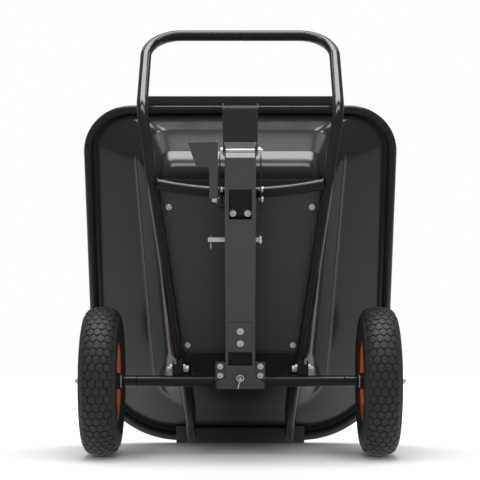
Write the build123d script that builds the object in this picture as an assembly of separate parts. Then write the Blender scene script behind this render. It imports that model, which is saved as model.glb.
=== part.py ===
"""Two-wheeled tipping garden cart, tipped forward on its wheels and the nose of its tub.

Every piece is drawn with the cart level: X is to the side, Y is forward and Z is up,
with the origin at the middle of the axle. The whole cart is then tipped about the axle
and stood on the floor, so that +Z is up and the lowest point lies at Z = 0.
"""
import math
import os

from build123d import *

# Stance of the finished cart
TIP_ANGLE = 66.0            # forward tip of the whole cart, degrees
DEPTH_SHIFT = -11.6         # moves the cart along Y so that its box is centred

# Wheels
WHEEL_RADIUS = 200.0
WHEEL_X = 371.0             # middle of each wheel
TYRE_HALF_WIDTH = 51.0
RIM_SEAT_RADIUS = 101.0
RIM_HALF_WIDTH = 39.0
HUB_HALF_LENGTH = 50.0
HUB_RADIUS = 22.0
SPINDLE_RADIUS = 8.0
RUNNING_GAP = 0.05          # radial clearance of every running fit

# Axle and chassis spine
AXLE_RADIUS = 15.0
AXLE_TUBE_END = 278.5
STUB_START = 279.5
STUB_END = 319.0
SPINE_HALF = 40.0
SPINE_SHEET = 3.0
SPINE_BOTTOM = -22.0
SPINE_TOP = 18.0
SPINE_FRONT = 13.0
SPINE_REAR = -636.0
EAR_REAR = -666.0
STAND_PIVOT = (-648.0, 0.0)     # forward and up
STAND_ANGLE = 35.5              # below the rearward line, degrees
STAND_LENGTH = 180.2
SADDLE_BOLT_X = 53.5
SADDLE_BOLT_F = (-52.0, -25.0)
LOCK_PIN_F = -22.0
FRONT_PLATE_BOLT_F = (-157.0, -122.0)
RAMP_BOLT_X = 19.5
RAMP_BOLT_F = -483.0
RAMP_TOP = -7.0

# Tub
RIM_TOP = 330.0
RIM_HALF = 432.0
RIM_REAR = -677.0
RIM_FRONT = 353.0
RIM_REAR_CORNER = 135.0
RIM_FRONT_CORNER = 255.0
BEAD_WIDTH = 24.0
BEAD_HEIGHT = 18.0
FLOOR_Z = 72.0
TUB_SHEET = 1.5
WALL_INSET = 1.6            # sideways thickness of the sloping walls
FLOOR_HOLES = [(188.0, -472.0), (143.0, -74.0)]

# Levels of the tub's wall, from the floor up: half width at the rear and at the front,
# rear edge, front edge, rear and front corner radii, height
TUB_LEVELS = [
    (212, 162, -562, -38, 46, 40, FLOOR_Z),
    (228, 178, -578, 2, 60, 60, 84),
    (240, 190, -592, 36, 70, 80, 106),
    (252, 202, -604, 76, 76, 92, 137),
    (288, 240, -628.3, 213, 90, 130, 250),
    (400, 400, -651, 321, 103, 223, RIM_TOP - TUB_SHEET),
]

# Frame tubes
TUBE_RADIUS = 15.0
TUBE_WALL = 1.5
RAIL_Z = 55.0
RAIL_FRONT = (167.0, -48.0, RAIL_Z)
RAIL_BEND = (228.0, -545.0, RAIL_Z)
KNEE = (260.0, -706.0, 185.0)
HANDLE_CORNER = (260.0, -832.0, 489.0)
HANDLE_RADII = [120.0, 120.0, 95.0]
SLEEVE_HALF = 60.0
CROSSBAR_RADIUS = 14.5
CROSSBAR_WALL = 2.0
SUPPORT_RADIUS = 14.0
GUARD_BOTTOM = RIM_TOP - 21.0
GUARD_FRONT = 356.5
SUPPORT_START = (155.9, 7.2, 65.4)
SUPPORT_KNEE = (147.0, 262.0, 258.0)
SUPPORT_END = (145.0, 332.0, GUARD_BOTTOM - SUPPORT_RADIUS)

# Tipping pivot of the tub frame on the axle
PIVOT = (-22.0, 30.0)       # forward and up
PIVOT_X = 168.0
PIVOT_BOLT = 5.0            # radius
CHEEK_RADIUS = 21.5
BRACKET_BOLT = 3.0          # radius
BRACKET_BOLT_AT = (-37.0, 13.0)

# Latch lever
LEVER_PIVOT = (-516.0, 4.0)
LATCH_X = 52.5              # middle of each latch plate

# Draw pin across the spine
PIN_F = -407.0
PIN_RADIUS = 6.0
CLIP_WIRE = 1.6             # radius
CLIP_X = -76.0

# Bolts and nuts
BOLT_M8 = 4.0               # radius
M8_FLATS = 13.0
M10_FLATS = 16.0
HEAD_RADIUS = 8.5           # round heads of the plate bolts
WIDE_HEAD_RADIUS = 9.5
HEAD_HEIGHT = 5.0
PLATE_BOLT_AT = (-544.0, 2.0)
RIM_BOLT_CIRCLE = 40.0
RIM_BOLT_COUNT = 4


def place(shape):
    """Tip a piece forward about the axle and stand it on the floor."""
    tip = Location((0, 0, 0), (-TIP_ANGLE, 0, 0))
    return Location((0, DEPTH_SHIFT, WHEEL_RADIUS)) * tip * shape


def save(name, *solids):
    """Write one sub-part, a single solid or a group of like solids."""
    placed = [place(s) for s in solids]
    shape = placed[0] if len(placed) == 1 else Compound(children=placed)
    shape.label = name
    export_step(shape, f"parts/{name}.step")


def mirrored(shape):
    """The same piece on the other side of the cart."""
    return mirror(shape, about=Plane.YZ)


def box(x0, x1, y0, y1, z0, z1):
    """A block between two corners."""
    size = Box(x1 - x0, y1 - y0, z1 - z0)
    return Pos((x0 + x1) / 2, (y0 + y1) / 2, (z0 + z1) / 2) * size


def rod_x(radius, x0, x1, y, z):
    """A round bar along X."""
    bar = Cylinder(radius, abs(x1 - x0), rotation=(0, 90, 0))
    return Pos((x0 + x1) / 2, y, z) * bar


def rod_z(radius, z0, z1, x, y):
    """A round bar along Z."""
    return Pos(x, y, (z0 + z1) / 2) * Cylinder(radius, z1 - z0)


def hex_x(flats, x0, x1, y, z):
    """A hexagon nut or head along X."""
    side = Plane(origin=(x0, y, z), x_dir=(0, 1, 0), z_dir=(1, 0, 0))
    outline = side * RegularPolygon(flats / 2, 6, major_radius=False)
    return extrude(outline, x1 - x0)


def hex_z(flats, z0, z1, x, y):
    """A hexagon nut or head along Z."""
    outline = Pos(x, y, z0) * RegularPolygon(flats / 2, 6, major_radius=False)
    return extrude(outline, z1 - z0)


def domed_head_z(radius, z0, z1, x, y):
    """A round bolt head whose dome faces down, from its seat at z1 to its crown at z0."""
    head = rod_z(radius, z0, z1, x, y)
    crown = head.faces().sort_by(Axis.Z)[0].edges()
    return fillet(crown, abs(z1 - z0) * 0.55)


def side_plate(x0, x1, points):
    """A flat plate in the plane of Y and Z, from x0 to x1."""
    side = Plane(origin=(x0, 0, 0), x_dir=(0, 1, 0), z_dir=(1, 0, 0))
    outline = make_face(Polyline(*points, close=True))
    return extrude(side * outline, x1 - x0)


def tube(path, radius, wall):
    """A round tube along a path, and the full bar of the same outside."""
    start = Plane(origin=path @ 0, z_dir=path % 0)
    bar = sweep(start * Circle(radius), path=path)
    hole = sweep(start * Circle(radius - wall), path=path)
    return bar - hole, bar


# ---------------------------------------------------------------- tub

def outline(half_rear, half_front, rear, front, r_rear, r_front, z):
    """A closed outline with rounded corners, symmetrical about the YZ plane."""
    corners = [
        (-half_rear, rear),
        (half_rear, rear),
        (half_front, front),
        (-half_front, front),
    ]
    face = make_face(Polyline(*corners, close=True))
    back = [v for v in face.vertices() if v.Y < (rear + front) / 2]
    face = fillet(back, r_rear)
    nose = [v for v in face.vertices() if v.Y > front - 0.01]
    face = fillet(nose, r_front)
    return Pos(0, 0, z) * face


def rim_outline(inset, z):
    """The rim's outline, drawn in by a distance."""
    return outline(
        RIM_HALF - inset, RIM_HALF - inset, RIM_REAR + inset, RIM_FRONT - inset,
        RIM_REAR_CORNER - inset, RIM_FRONT_CORNER - inset, z)


def tub_section(level, inset, lift):
    """One level of the tub's wall, drawn in and lifted for its inner side."""
    rear, front, back, nose, r_rear, r_front, z = level
    return outline(
        rear - inset, front - inset, back + inset, nose - inset,
        r_rear - inset, r_front - inset, z + lift)


def tub():
    """Pressed sheet tub: flat floor, creased walls, flange and rolled bead."""
    outer = loft([tub_section(level, 0, 0) for level in TUB_LEVELS], ruled=True)
    inner = loft([tub_section(level, WALL_INSET, TUB_SHEET) for level in TUB_LEVELS], ruled=True)
    flange = extrude(rim_outline(BEAD_WIDTH - 2, RIM_TOP - TUB_SHEET), TUB_SHEET)
    bead_bottom = RIM_TOP - BEAD_HEIGHT
    bead = extrude(rim_outline(0, bead_bottom), BEAD_HEIGHT)
    bead = bead - extrude(rim_outline(BEAD_WIDTH, bead_bottom), BEAD_HEIGHT)
    bead = fillet(bead.faces().sort_by(Axis.Z)[0].edges(), 8.0)
    hollow = extrude(rim_outline(TUB_SHEET, bead_bottom + TUB_SHEET), BEAD_HEIGHT - 2 * TUB_SHEET)
    core = extrude(rim_outline(BEAD_WIDTH - TUB_SHEET, bead_bottom + TUB_SHEET), BEAD_HEIGHT)
    hollow = hollow - core
    hollow = fillet(hollow.faces().sort_by(Axis.Z)[0].edges(), 6.5)
    slit = extrude(rim_outline(BEAD_WIDTH - 2, RIM_TOP - 7), 4)
    slit = slit - extrude(rim_outline(BEAD_WIDTH + 1, RIM_TOP - 7), 4)
    shell = outer + flange + (bead - hollow - slit)
    shell = shell - inner
    for x, y in FLOOR_HOLES:
        for side in (-1, 1):
            shell = shell - rod_z(BOLT_M8, FLOOR_Z - 5, FLOOR_Z + 5, side * x, y)
    return shell


def rear_lip():
    """Folded strip along the top of the rear rim, between the handle's legs."""
    rear = RIM_REAR - 22
    strip = box(-255, 255, rear, RIM_REAR + 18, RIM_TOP, RIM_TOP + 3)
    fold = box(-255, 255, rear, rear + 3, RIM_TOP + 3, RIM_TOP + 9)
    return strip + fold


def nose_guard():
    """Plate under the nose of the rim, with an upstand in front and an ear at each end."""
    front = RIM_FRONT + 0.5
    plate = box(-190, 190, 306, front, GUARD_BOTTOM, GUARD_BOTTOM + 3)
    upstand = box(-190, 190, front, GUARD_FRONT, GUARD_BOTTOM, RIM_TOP - 1)
    guard = plate + upstand
    for x0, x1 in ((-190, -154), (154, 190)):
        guard = guard + box(x0, x1, 300, 306, GUARD_BOTTOM, GUARD_BOTTOM + 3)
    return guard


# ---------------------------------------------------------------- frame

def frame_path():
    """Centre line of the right-hand frame tube, from the rail to the middle of the handle."""
    end = (0.5, HANDLE_CORNER[1], HANDLE_CORNER[2])
    return FilletPolyline(RAIL_FRONT, RAIL_BEND, KNEE, HANDLE_CORNER, end, radius=HANDLE_RADII)


def crossbar_path():
    """Centre line of the bowed crossbar between the rails."""
    return ThreePointArc((-226, -543, 54), (0, -523, 38), (226, -543, 54))


def front_support():
    """Tube from the pivot, under the sloping front wall, to the nose guard."""
    path = FilletPolyline(SUPPORT_START, SUPPORT_KNEE, SUPPORT_END, radius=90)
    return tube(path, SUPPORT_RADIUS, TUBE_WALL)


def base_plate():
    """Flat plate on the rails that the tub's floor is bolted to."""
    points = [(-232, -548), (232, -548), (171, -54), (-171, -54)]
    plate = extrude(Pos(0, 0, FLOOR_Z - 2) * make_face(Polyline(*points, close=True)), 2)
    hem = box(-171, 171, -56, -54, FLOOR_Z - 8, FLOOR_Z - 2)
    hem = hem - box(140, 200, -60, -50, FLOOR_Z - 9, FLOOR_Z - 2)
    hem = hem - box(-200, -140, -60, -50, FLOOR_Z - 9, FLOOR_Z - 2)
    plate = plate + hem
    for x, y in FLOOR_HOLES:
        for side in (-1, 1):
            plate = plate - rod_z(BOLT_M8, FLOOR_Z - 5, FLOOR_Z + 5, side * x, y)
    return plate


def pivot_lug(keep_out):
    """Tongue of the tub frame that turns on the pivot bolt, welded to the rail's end."""
    f, u = PIVOT
    points = [(-47.9, 46), (f - 11, u + 4), (f + 11, u + 4), (9, 69.9), (-47.9, 69.9)]
    tongue = side_plate(PIVOT_X - 5, PIVOT_X + 5, points)
    boss = rod_x(12, PIVOT_X - 11.5, PIVOT_X + 11.5, f, u)
    lug = tongue + boss
    for bar in keep_out:
        lug = lug - bar
    return lug - rod_x(PIVOT_BOLT, PIVOT_X - 30, PIVOT_X + 30, f, u)


def latch_plate(crossbar_bar):
    """Side plate welded to the crossbar, beside the spine."""
    points = [
        (-630, 6), (-612, -14), (-500, -14), (-488, -2),
        (-488, 40), (-512, 56), (-546, 56), (-600, 34), (-630, 26),
    ]
    plate = side_plate(LATCH_X - 1.5, LATCH_X + 1.5, points)
    return plate - crossbar_bar


# ---------------------------------------------------------------- chassis

def axle_tube():
    """Straight axle tube between the stubs."""
    bar = rod_x(AXLE_RADIUS, -AXLE_TUBE_END, AXLE_TUBE_END, 0, 0)
    return bar - rod_x(AXLE_RADIUS - 2.5, -AXLE_TUBE_END, AXLE_TUBE_END, 0, 0)


def axle_stub():
    """Right-hand stub: a collar, a plug inside the axle tube and the wheel's spindle."""
    collar = rod_x(AXLE_RADIUS, STUB_START, STUB_END, 0, 0)
    plug = rod_x(AXLE_RADIUS - 2.5, 236, STUB_START, 0, 0)
    spindle = rod_x(SPINDLE_RADIUS, STUB_END, 428, 0, 0)
    thread = rod_x(5.0, 428, 444, 0, 0)
    collar = chamfer(collar.faces().sort_by(Axis.X)[0].edges(), 1.0)
    return collar + plug + spindle + thread


def spine():
    """Folded channel that runs from the axle to the rear, open towards the tub."""
    half, sheet = SPINE_HALF, SPINE_SHEET
    profile = box(-half, half, EAR_REAR, SPINE_FRONT, SPINE_BOTTOM, SPINE_TOP)
    bends = profile.edges().filter_by(Axis.Y).group_by(Axis.Z)[0]
    profile = fillet(bends, 4.0)
    hollow = box(-half + sheet, half - sheet, EAR_REAR, SPINE_FRONT, SPINE_BOTTOM + sheet, SPINE_TOP)
    channel = profile - hollow
    channel = channel - box(-half - 1, half + 1, EAR_REAR - 1, SPINE_REAR, SPINE_BOTTOM - 1, -13)
    channel = channel - box(-half - 1, half + 1, EAR_REAR - 1, SPINE_REAR, 13, SPINE_TOP + 1)
    channel = channel - box(-29.5, 29.5, -552, -470, SPINE_BOTTOM - 1, SPINE_BOTTOM + 5)
    channel = channel - box(-32, 32, -96, -56, SPINE_BOTTOM - 1, SPINE_BOTTOM + 5)
    flare = [(-half, -20), (half, -20), (64, -8), (64, 13), (-64, 13), (-64, -8)]
    flare = extrude(Pos(0, 0, SPINE_BOTTOM) * make_face(Polyline(*flare, close=True)), sheet)
    channel = channel + (flare - box(-half + 5, half - 5, -30, 20, SPINE_BOTTOM, SPINE_TOP))
    for side in (-1, 1):
        x0, x1 = sorted((side * half, side * 66))
        channel = channel + box(x0, x1, -64, -12, -18, -15)
        for y in SADDLE_BOLT_F:
            channel = channel - rod_z(BOLT_M8, -20, -10, side * SADDLE_BOLT_X, y)
    channel = channel - rod_x(AXLE_RADIUS, -100, 100, 0, 0)
    channel = channel - rod_x(PIVOT_BOLT, -60, 60, STAND_PIVOT[0], STAND_PIVOT[1])
    channel = channel - rod_x(PIN_RADIUS + RUNNING_GAP, -60, 60, PIN_F, 0)
    for y in FRONT_PLATE_BOLT_F:
        channel = channel - rod_z(BOLT_M8, -30, -10, 0, y)
    return channel - rod_z(BOLT_M8, -30, -10, 0, LOCK_PIN_F)


def axle_ear():
    """Right-hand ear welded to the axle, bolted to the spine's side tab."""
    ear = box(SPINE_HALF, 66, -64, -2, -15, -11)
    ear = ear - rod_x(AXLE_RADIUS, 30, 80, 0, 0)
    for y in SADDLE_BOLT_F:
        ear = ear - rod_z(BOLT_M8, -20, -5, SADDLE_BOLT_X, y)
    return ear


def catch_lug():
    """Small block on the left flange of the spine that the latch cam bears on."""
    return box(-SPINE_HALF - 8, -SPINE_HALF, -496, -484, -6, 8)


def ramp():
    """Sloping tongue behind the rear opening of the spine's web."""
    points = [
        (-556, -18.9), (-552, -16), (-498, RAMP_TOP), (-462, RAMP_TOP),
        (-462, RAMP_TOP - 3), (-498, RAMP_TOP - 3), (-550, -18.9),
    ]
    plate = side_plate(-29, 29, points)
    foot = box(-29, 29, -465, -462, SPINE_BOTTOM + SPINE_SHEET, RAMP_TOP - 3)
    plate = plate + foot
    for x in (-RAMP_BOLT_X, RAMP_BOLT_X):
        plate = plate - rod_z(BOLT_M8, -20, 5, x, RAMP_BOLT_F)
    return plate


def front_plate():
    """Flat plate bolted under the front of the spine's web."""
    plate = box(-32, 32, -182, -106, SPINE_BOTTOM - 2.5, SPINE_BOTTOM)
    corners = plate.edges().filter_by(Axis.Z).group_by(Axis.Y)[0]
    plate = fillet(corners, 7.0)
    for y in FRONT_PLATE_BOLT_F:
        plate = plate - rod_z(BOLT_M8, -30, -10, 0, y)
    return plate


def socket_plate():
    """Closing plate a little above the window in the spine's web."""
    half = SPINE_HALF - SPINE_SHEET
    plate = box(-half, half, -108, -44, SPINE_BOTTOM + 5, SPINE_BOTTOM + 8)
    for y in (-108, -47):
        plate = plate + box(-half, half, y, y + 3, SPINE_BOTTOM + SPINE_SHEET, SPINE_BOTTOM + 5)
    return plate


def bracket_bolt():
    """Small bolt and nut that tie the cheeks of the right-hand clevis together."""
    f, u = BRACKET_BOLT_AT
    bolt = cross_bolt(PIVOT_X - 20, PIVOT_X + 22, 5, f, u, BRACKET_BOLT, 11)
    return [bolt, nut_x(PIVOT_X + 15, PIVOT_X + 20, f, u, BRACKET_BOLT, 11)]


def pivot_bracket():
    """Right-hand clevis welded to the axle, either side of the tub frame's lug."""
    f, u = PIVOT
    clevis = box(PIVOT_X - 15, PIVOT_X + 15, -45, -6, 4, 7)
    for x0 in (PIVOT_X - 15, PIVOT_X + 12):
        cheek = side_plate(x0, x0 + 3, [(-45, 4), (10, 4), (10, 14), (f + 18, u + 8), (-43.5, u)])
        clevis = clevis + cheek + rod_x(CHEEK_RADIUS, x0, x0 + 3, f, u)
    clevis = clevis - rod_x(AXLE_RADIUS, PIVOT_X - 40, PIVOT_X + 40, 0, 0)
    clevis = clevis - rod_x(BRACKET_BOLT, PIVOT_X - 40, PIVOT_X + 40, *BRACKET_BOLT_AT)
    return clevis - rod_x(PIVOT_BOLT + RUNNING_GAP, PIVOT_X - 40, PIVOT_X + 40, f, u)


def stand_leg():
    """Folded channel that straddles the spine's rear ears and turns on their bolt."""
    inner, outer = SPINE_HALF + 0.5, SPINE_HALF + 3.5
    web = box(-outer, outer, -STAND_LENGTH, -48, -7, -4)
    leg = web
    for side in (-1, 1):
        points = [
            (-STAND_LENGTH, -7), (-30, -10), (0, -14), (11, -9), (14, 0), (9, 11),
            (0, 14.5), (-40, 18), (-STAND_LENGTH + 12, 18), (-STAND_LENGTH, 8),
        ]
        x0, x1 = sorted((side * inner, side * outer))
        leg = leg + side_plate(x0, x1, points)
    leg = leg - rod_x(PIVOT_BOLT + RUNNING_GAP, -60, 60, 0, 0)
    swung = Location((0, STAND_PIVOT[0], STAND_PIVOT[1])) * Location((0, 0, 0), (STAND_ANGLE, 0, 0))
    return swung * leg


def cross_bolt(x0, x1, head, f, u, radius, flats):
    """Bolt along X with a hexagon head at x0 and a plain end at x1."""
    shank = rod_x(radius, min(x0, x1), max(x0, x1), f, u)
    top = sorted((x0, x0 + head))
    return shank + hex_x(flats, top[0], top[1], f, u)


def nut_x(x0, x1, f, u, radius, flats):
    """Nut along X."""
    return hex_x(flats, x0, x1, f, u) - rod_x(radius, x0 - 1, x1 + 1, f, u)


def nut_z(z0, z1, x, y, radius, flats):
    """Nut along Z."""
    return hex_z(flats, z0, z1, x, y) - rod_z(radius, z0 - 1, z1 + 1, x, y)


def headed_bolt(x, y, seat, grip, head_radius=HEAD_RADIUS):
    """Round-headed bolt pointing up, its head under the seat."""
    head = domed_head_z(head_radius, seat - HEAD_HEIGHT, seat, x, y)
    return head + rod_z(BOLT_M8, seat, seat + grip, x, y)


# ---------------------------------------------------------------- latch

def latch_lever():
    """Foot lever: a face plate with a flag at its rear and a flange with the pivot hole."""
    f, u = LEVER_PIVOT
    flag = [
        (-79.0, -524), (-57.0, -524), (-57.0, -676), (-133.0, -674),
        (-113.0, -612), (-85.0, -610), (-79.0, -604),
    ]
    face = extrude(Pos(0, 0, -13) * make_face(Polyline(*flag, close=True)), 3)
    side = [(-676, -13), (-508, -13), (-504, u), (f, u + 11), (-560, 10), (-676, 2)]
    flange = side_plate(-60, -57, side)
    flange = flange + rod_x(13, -60, -57, f, u)
    lever = face + flange
    return lever - rod_x(PIVOT_BOLT, -70, -50, f, u)


def latch_cam():
    """Cam on the inner end of the lever's shaft, beside the spine."""
    f, u = LEVER_PIVOT
    cam = side_plate(-50, -43, [(f - 15, u - 8), (f + 8, u - 10), (f + 9, u + 8), (f - 10, u + 8)])
    return cam - rod_x(PIVOT_BOLT, -60, -40, f, u)


def lever_shaft():
    """Shaft of the lever, through the left latch plate."""
    f, u = LEVER_PIVOT
    return rod_x(PIVOT_BOLT, -69, -42, f, u)


def lever_nut():
    """Domed nut on the outer end of the lever's shaft."""
    f, u = LEVER_PIVOT
    nut = hex_x(M10_FLATS, -67, -60, f, u)
    dome = rod_x(7.2, -73, -67, f, u)
    dome = fillet(dome.faces().sort_by(Axis.X)[0].edges(), 4.5)
    return nut + dome - rod_x(PIVOT_BOLT, -69, -59, f, u)


# ---------------------------------------------------------------- draw pin

def draw_pin():
    """Plain pin across the spine with a domed head on the right."""
    pin = rod_x(PIN_RADIUS, -84, SPINE_HALF + 9.5, PIN_F, 0)
    head = rod_x(10.5, SPINE_HALF + 9.5, SPINE_HALF + 16, PIN_F, 0)
    head = fillet(head.faces().sort_by(Axis.X)[-1].edges(), 4.0)
    pin = chamfer(pin.faces().sort_by(Axis.X)[0].edges(), 1.5)
    return pin + head - rod_z(CLIP_WIRE, -10, 10, CLIP_X, PIN_F)


def pin_clip():
    """Spring clip: one leg through the pin, one leg around it, joined by an eye."""
    leg = rod_z(CLIP_WIRE, -16, 14, CLIP_X, PIN_F)
    path = FilletPolyline(
        (CLIP_X, PIN_F, 14), (CLIP_X, PIN_F, 30), (CLIP_X, PIN_F + 22, 34),
        (CLIP_X, PIN_F + 20, 14), (CLIP_X, PIN_F + 11, 2), (CLIP_X, PIN_F + 17, -18), radius=4.5)
    start = Plane(origin=path @ 0, z_dir=path % 0)
    return leg + sweep(start * Circle(CLIP_WIRE), path=path)


def lock_pin():
    """Upright pin through the spine's web behind the axle."""
    return rod_z(BOLT_M8, -34, SPINE_BOTTOM + 12, 0, LOCK_PIN_F) + rod_z(
        8, SPINE_BOTTOM + SPINE_SHEET, SPINE_BOTTOM + SPINE_SHEET + 4, 0, LOCK_PIN_F)


def lock_clip():
    """Small ring clip through the lower end of the upright pin."""
    ring = Pos(0, LOCK_PIN_F, -29) * Torus(9, 1.5)
    tail = FilletPolyline(
        (-1, LOCK_PIN_F + 8.5, -29), (-4, LOCK_PIN_F + 18, -28), (-6, LOCK_PIN_F + 31, -27),
        radius=10)
    start = Plane(origin=tail @ 0, z_dir=tail % 0)
    return ring + sweep(start * Circle(1.5), path=tail)


# ---------------------------------------------------------------- wheel

def turned(points):
    """Solid of revolution about X from points given as distance along X and radius."""
    face = make_face(Polyline(*points, close=True))
    return revolve(face, axis=Axis.X)


def tyre():
    """Pneumatic tyre with its tread worn flush, open at the beads."""
    r, w = WHEEL_RADIUS, TYRE_HALF_WIDTH
    seat = RIM_SEAT_RADIUS
    outer = [
        (-36.9, seat + 2), (-41, 118), (-w + 0.8, 140), (-w, 156),
        (-w + 3.5, 176), (-38, 190), (-24, 196.5), (-9, 199.4),
    ]
    inner = [
        (9, 187), (24, 183), (36, 173), (43, 152),
        (42, 140), (34, 122), (28, 112), (26, seat),
    ]
    outline_points = outer + [(0, r)] + [(-x, y) for x, y in reversed(outer)]
    cavity = list(reversed(inner)) + [(-x, y) for x, y in inner]
    carcass = Spline(*outline_points)
    lining = Spline(*cavity)
    feet = Line(carcass @ 1, lining @ 0)
    toes = Line(lining @ 1, carcass @ 0)
    return revolve(make_face(carcass + feet + lining + toes), axis=Axis.X)


def rim_bolt_places():
    """Places of the rim bolts across the wheel, as Y and Z."""
    turn = 2 * math.pi / RIM_BOLT_COUNT
    angles = [turn * (k + 0.5) for k in range(RIM_BOLT_COUNT)]
    return [(RIM_BOLT_CIRCLE * math.cos(a), RIM_BOLT_CIRCLE * math.sin(a)) for a in angles]


def rim_half():
    """Outer half of a split pressed rim, dished from the bead seat to the bolted disc."""
    s = 2.0
    points = [
        (RIM_HALF_WIDTH, 112), (RIM_HALF_WIDTH + s, 112), (RIM_HALF_WIDTH + s, 99), (20, 97),
        (14, 78), (8, 62), (4.5 + s, 56), (4.5 + s, HUB_RADIUS), (4.5, HUB_RADIUS), (4.5, 58),
        (6, 64), (12, 80), (17, 100), (RIM_HALF_WIDTH, RIM_SEAT_RADIUS),
    ]
    rim = turned(points)
    for y, z in rim_bolt_places():
        rim = rim - rod_x(BOLT_M8, 0, 12, y, z)
    return rim


def hub():
    """Hub tube with a bearing seat at each end and a flange for the rim."""
    body = turned([
        (-HUB_HALF_LENGTH, 17.5), (-HUB_HALF_LENGTH, HUB_RADIUS), (-4.5, HUB_RADIUS), (-4.5, 54),
        (4.5, 54), (4.5, HUB_RADIUS), (HUB_HALF_LENGTH, HUB_RADIUS), (HUB_HALF_LENGTH, 17.5),
        (HUB_HALF_LENGTH - 12, 17.5), (HUB_HALF_LENGTH - 12, 14), (-HUB_HALF_LENGTH + 12, 14),
        (-HUB_HALF_LENGTH + 12, 17.5),
    ])
    for y, z in rim_bolt_places():
        body = body - rod_x(BOLT_M8, -12, 12, y, z)
    return body


def bearing(x0, x1):
    """Ball bearing drawn as one ring, with a running clearance on the spindle."""
    return rod_x(17.5, x0, x1, 0, 0) - rod_x(SPINDLE_RADIUS + RUNNING_GAP, x0, x1, 0, 0)


def rim_bolts():
    """Four bolts that clamp the rim halves to the hub's flange."""
    bolts = []
    for y, z in rim_bolt_places():
        bolt = rod_x(BOLT_M8, -14, 6.5, y, z) + hex_x(M8_FLATS, 6.5, 12, y, z)
        nut = nut_x(-13, -6.5, y, z, BOLT_M8, M8_FLATS)
        bolts += [bolt, nut]
    return bolts


def valve_stem():
    """Valve that stands out of the rim's outer dish."""
    seat = Plane(origin=(26, 0, -97), z_dir=(0.94, 0, 0.342))
    return extrude(seat * Circle(3), 16) + extrude(seat.offset(14) * Circle(4), 10)


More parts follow.
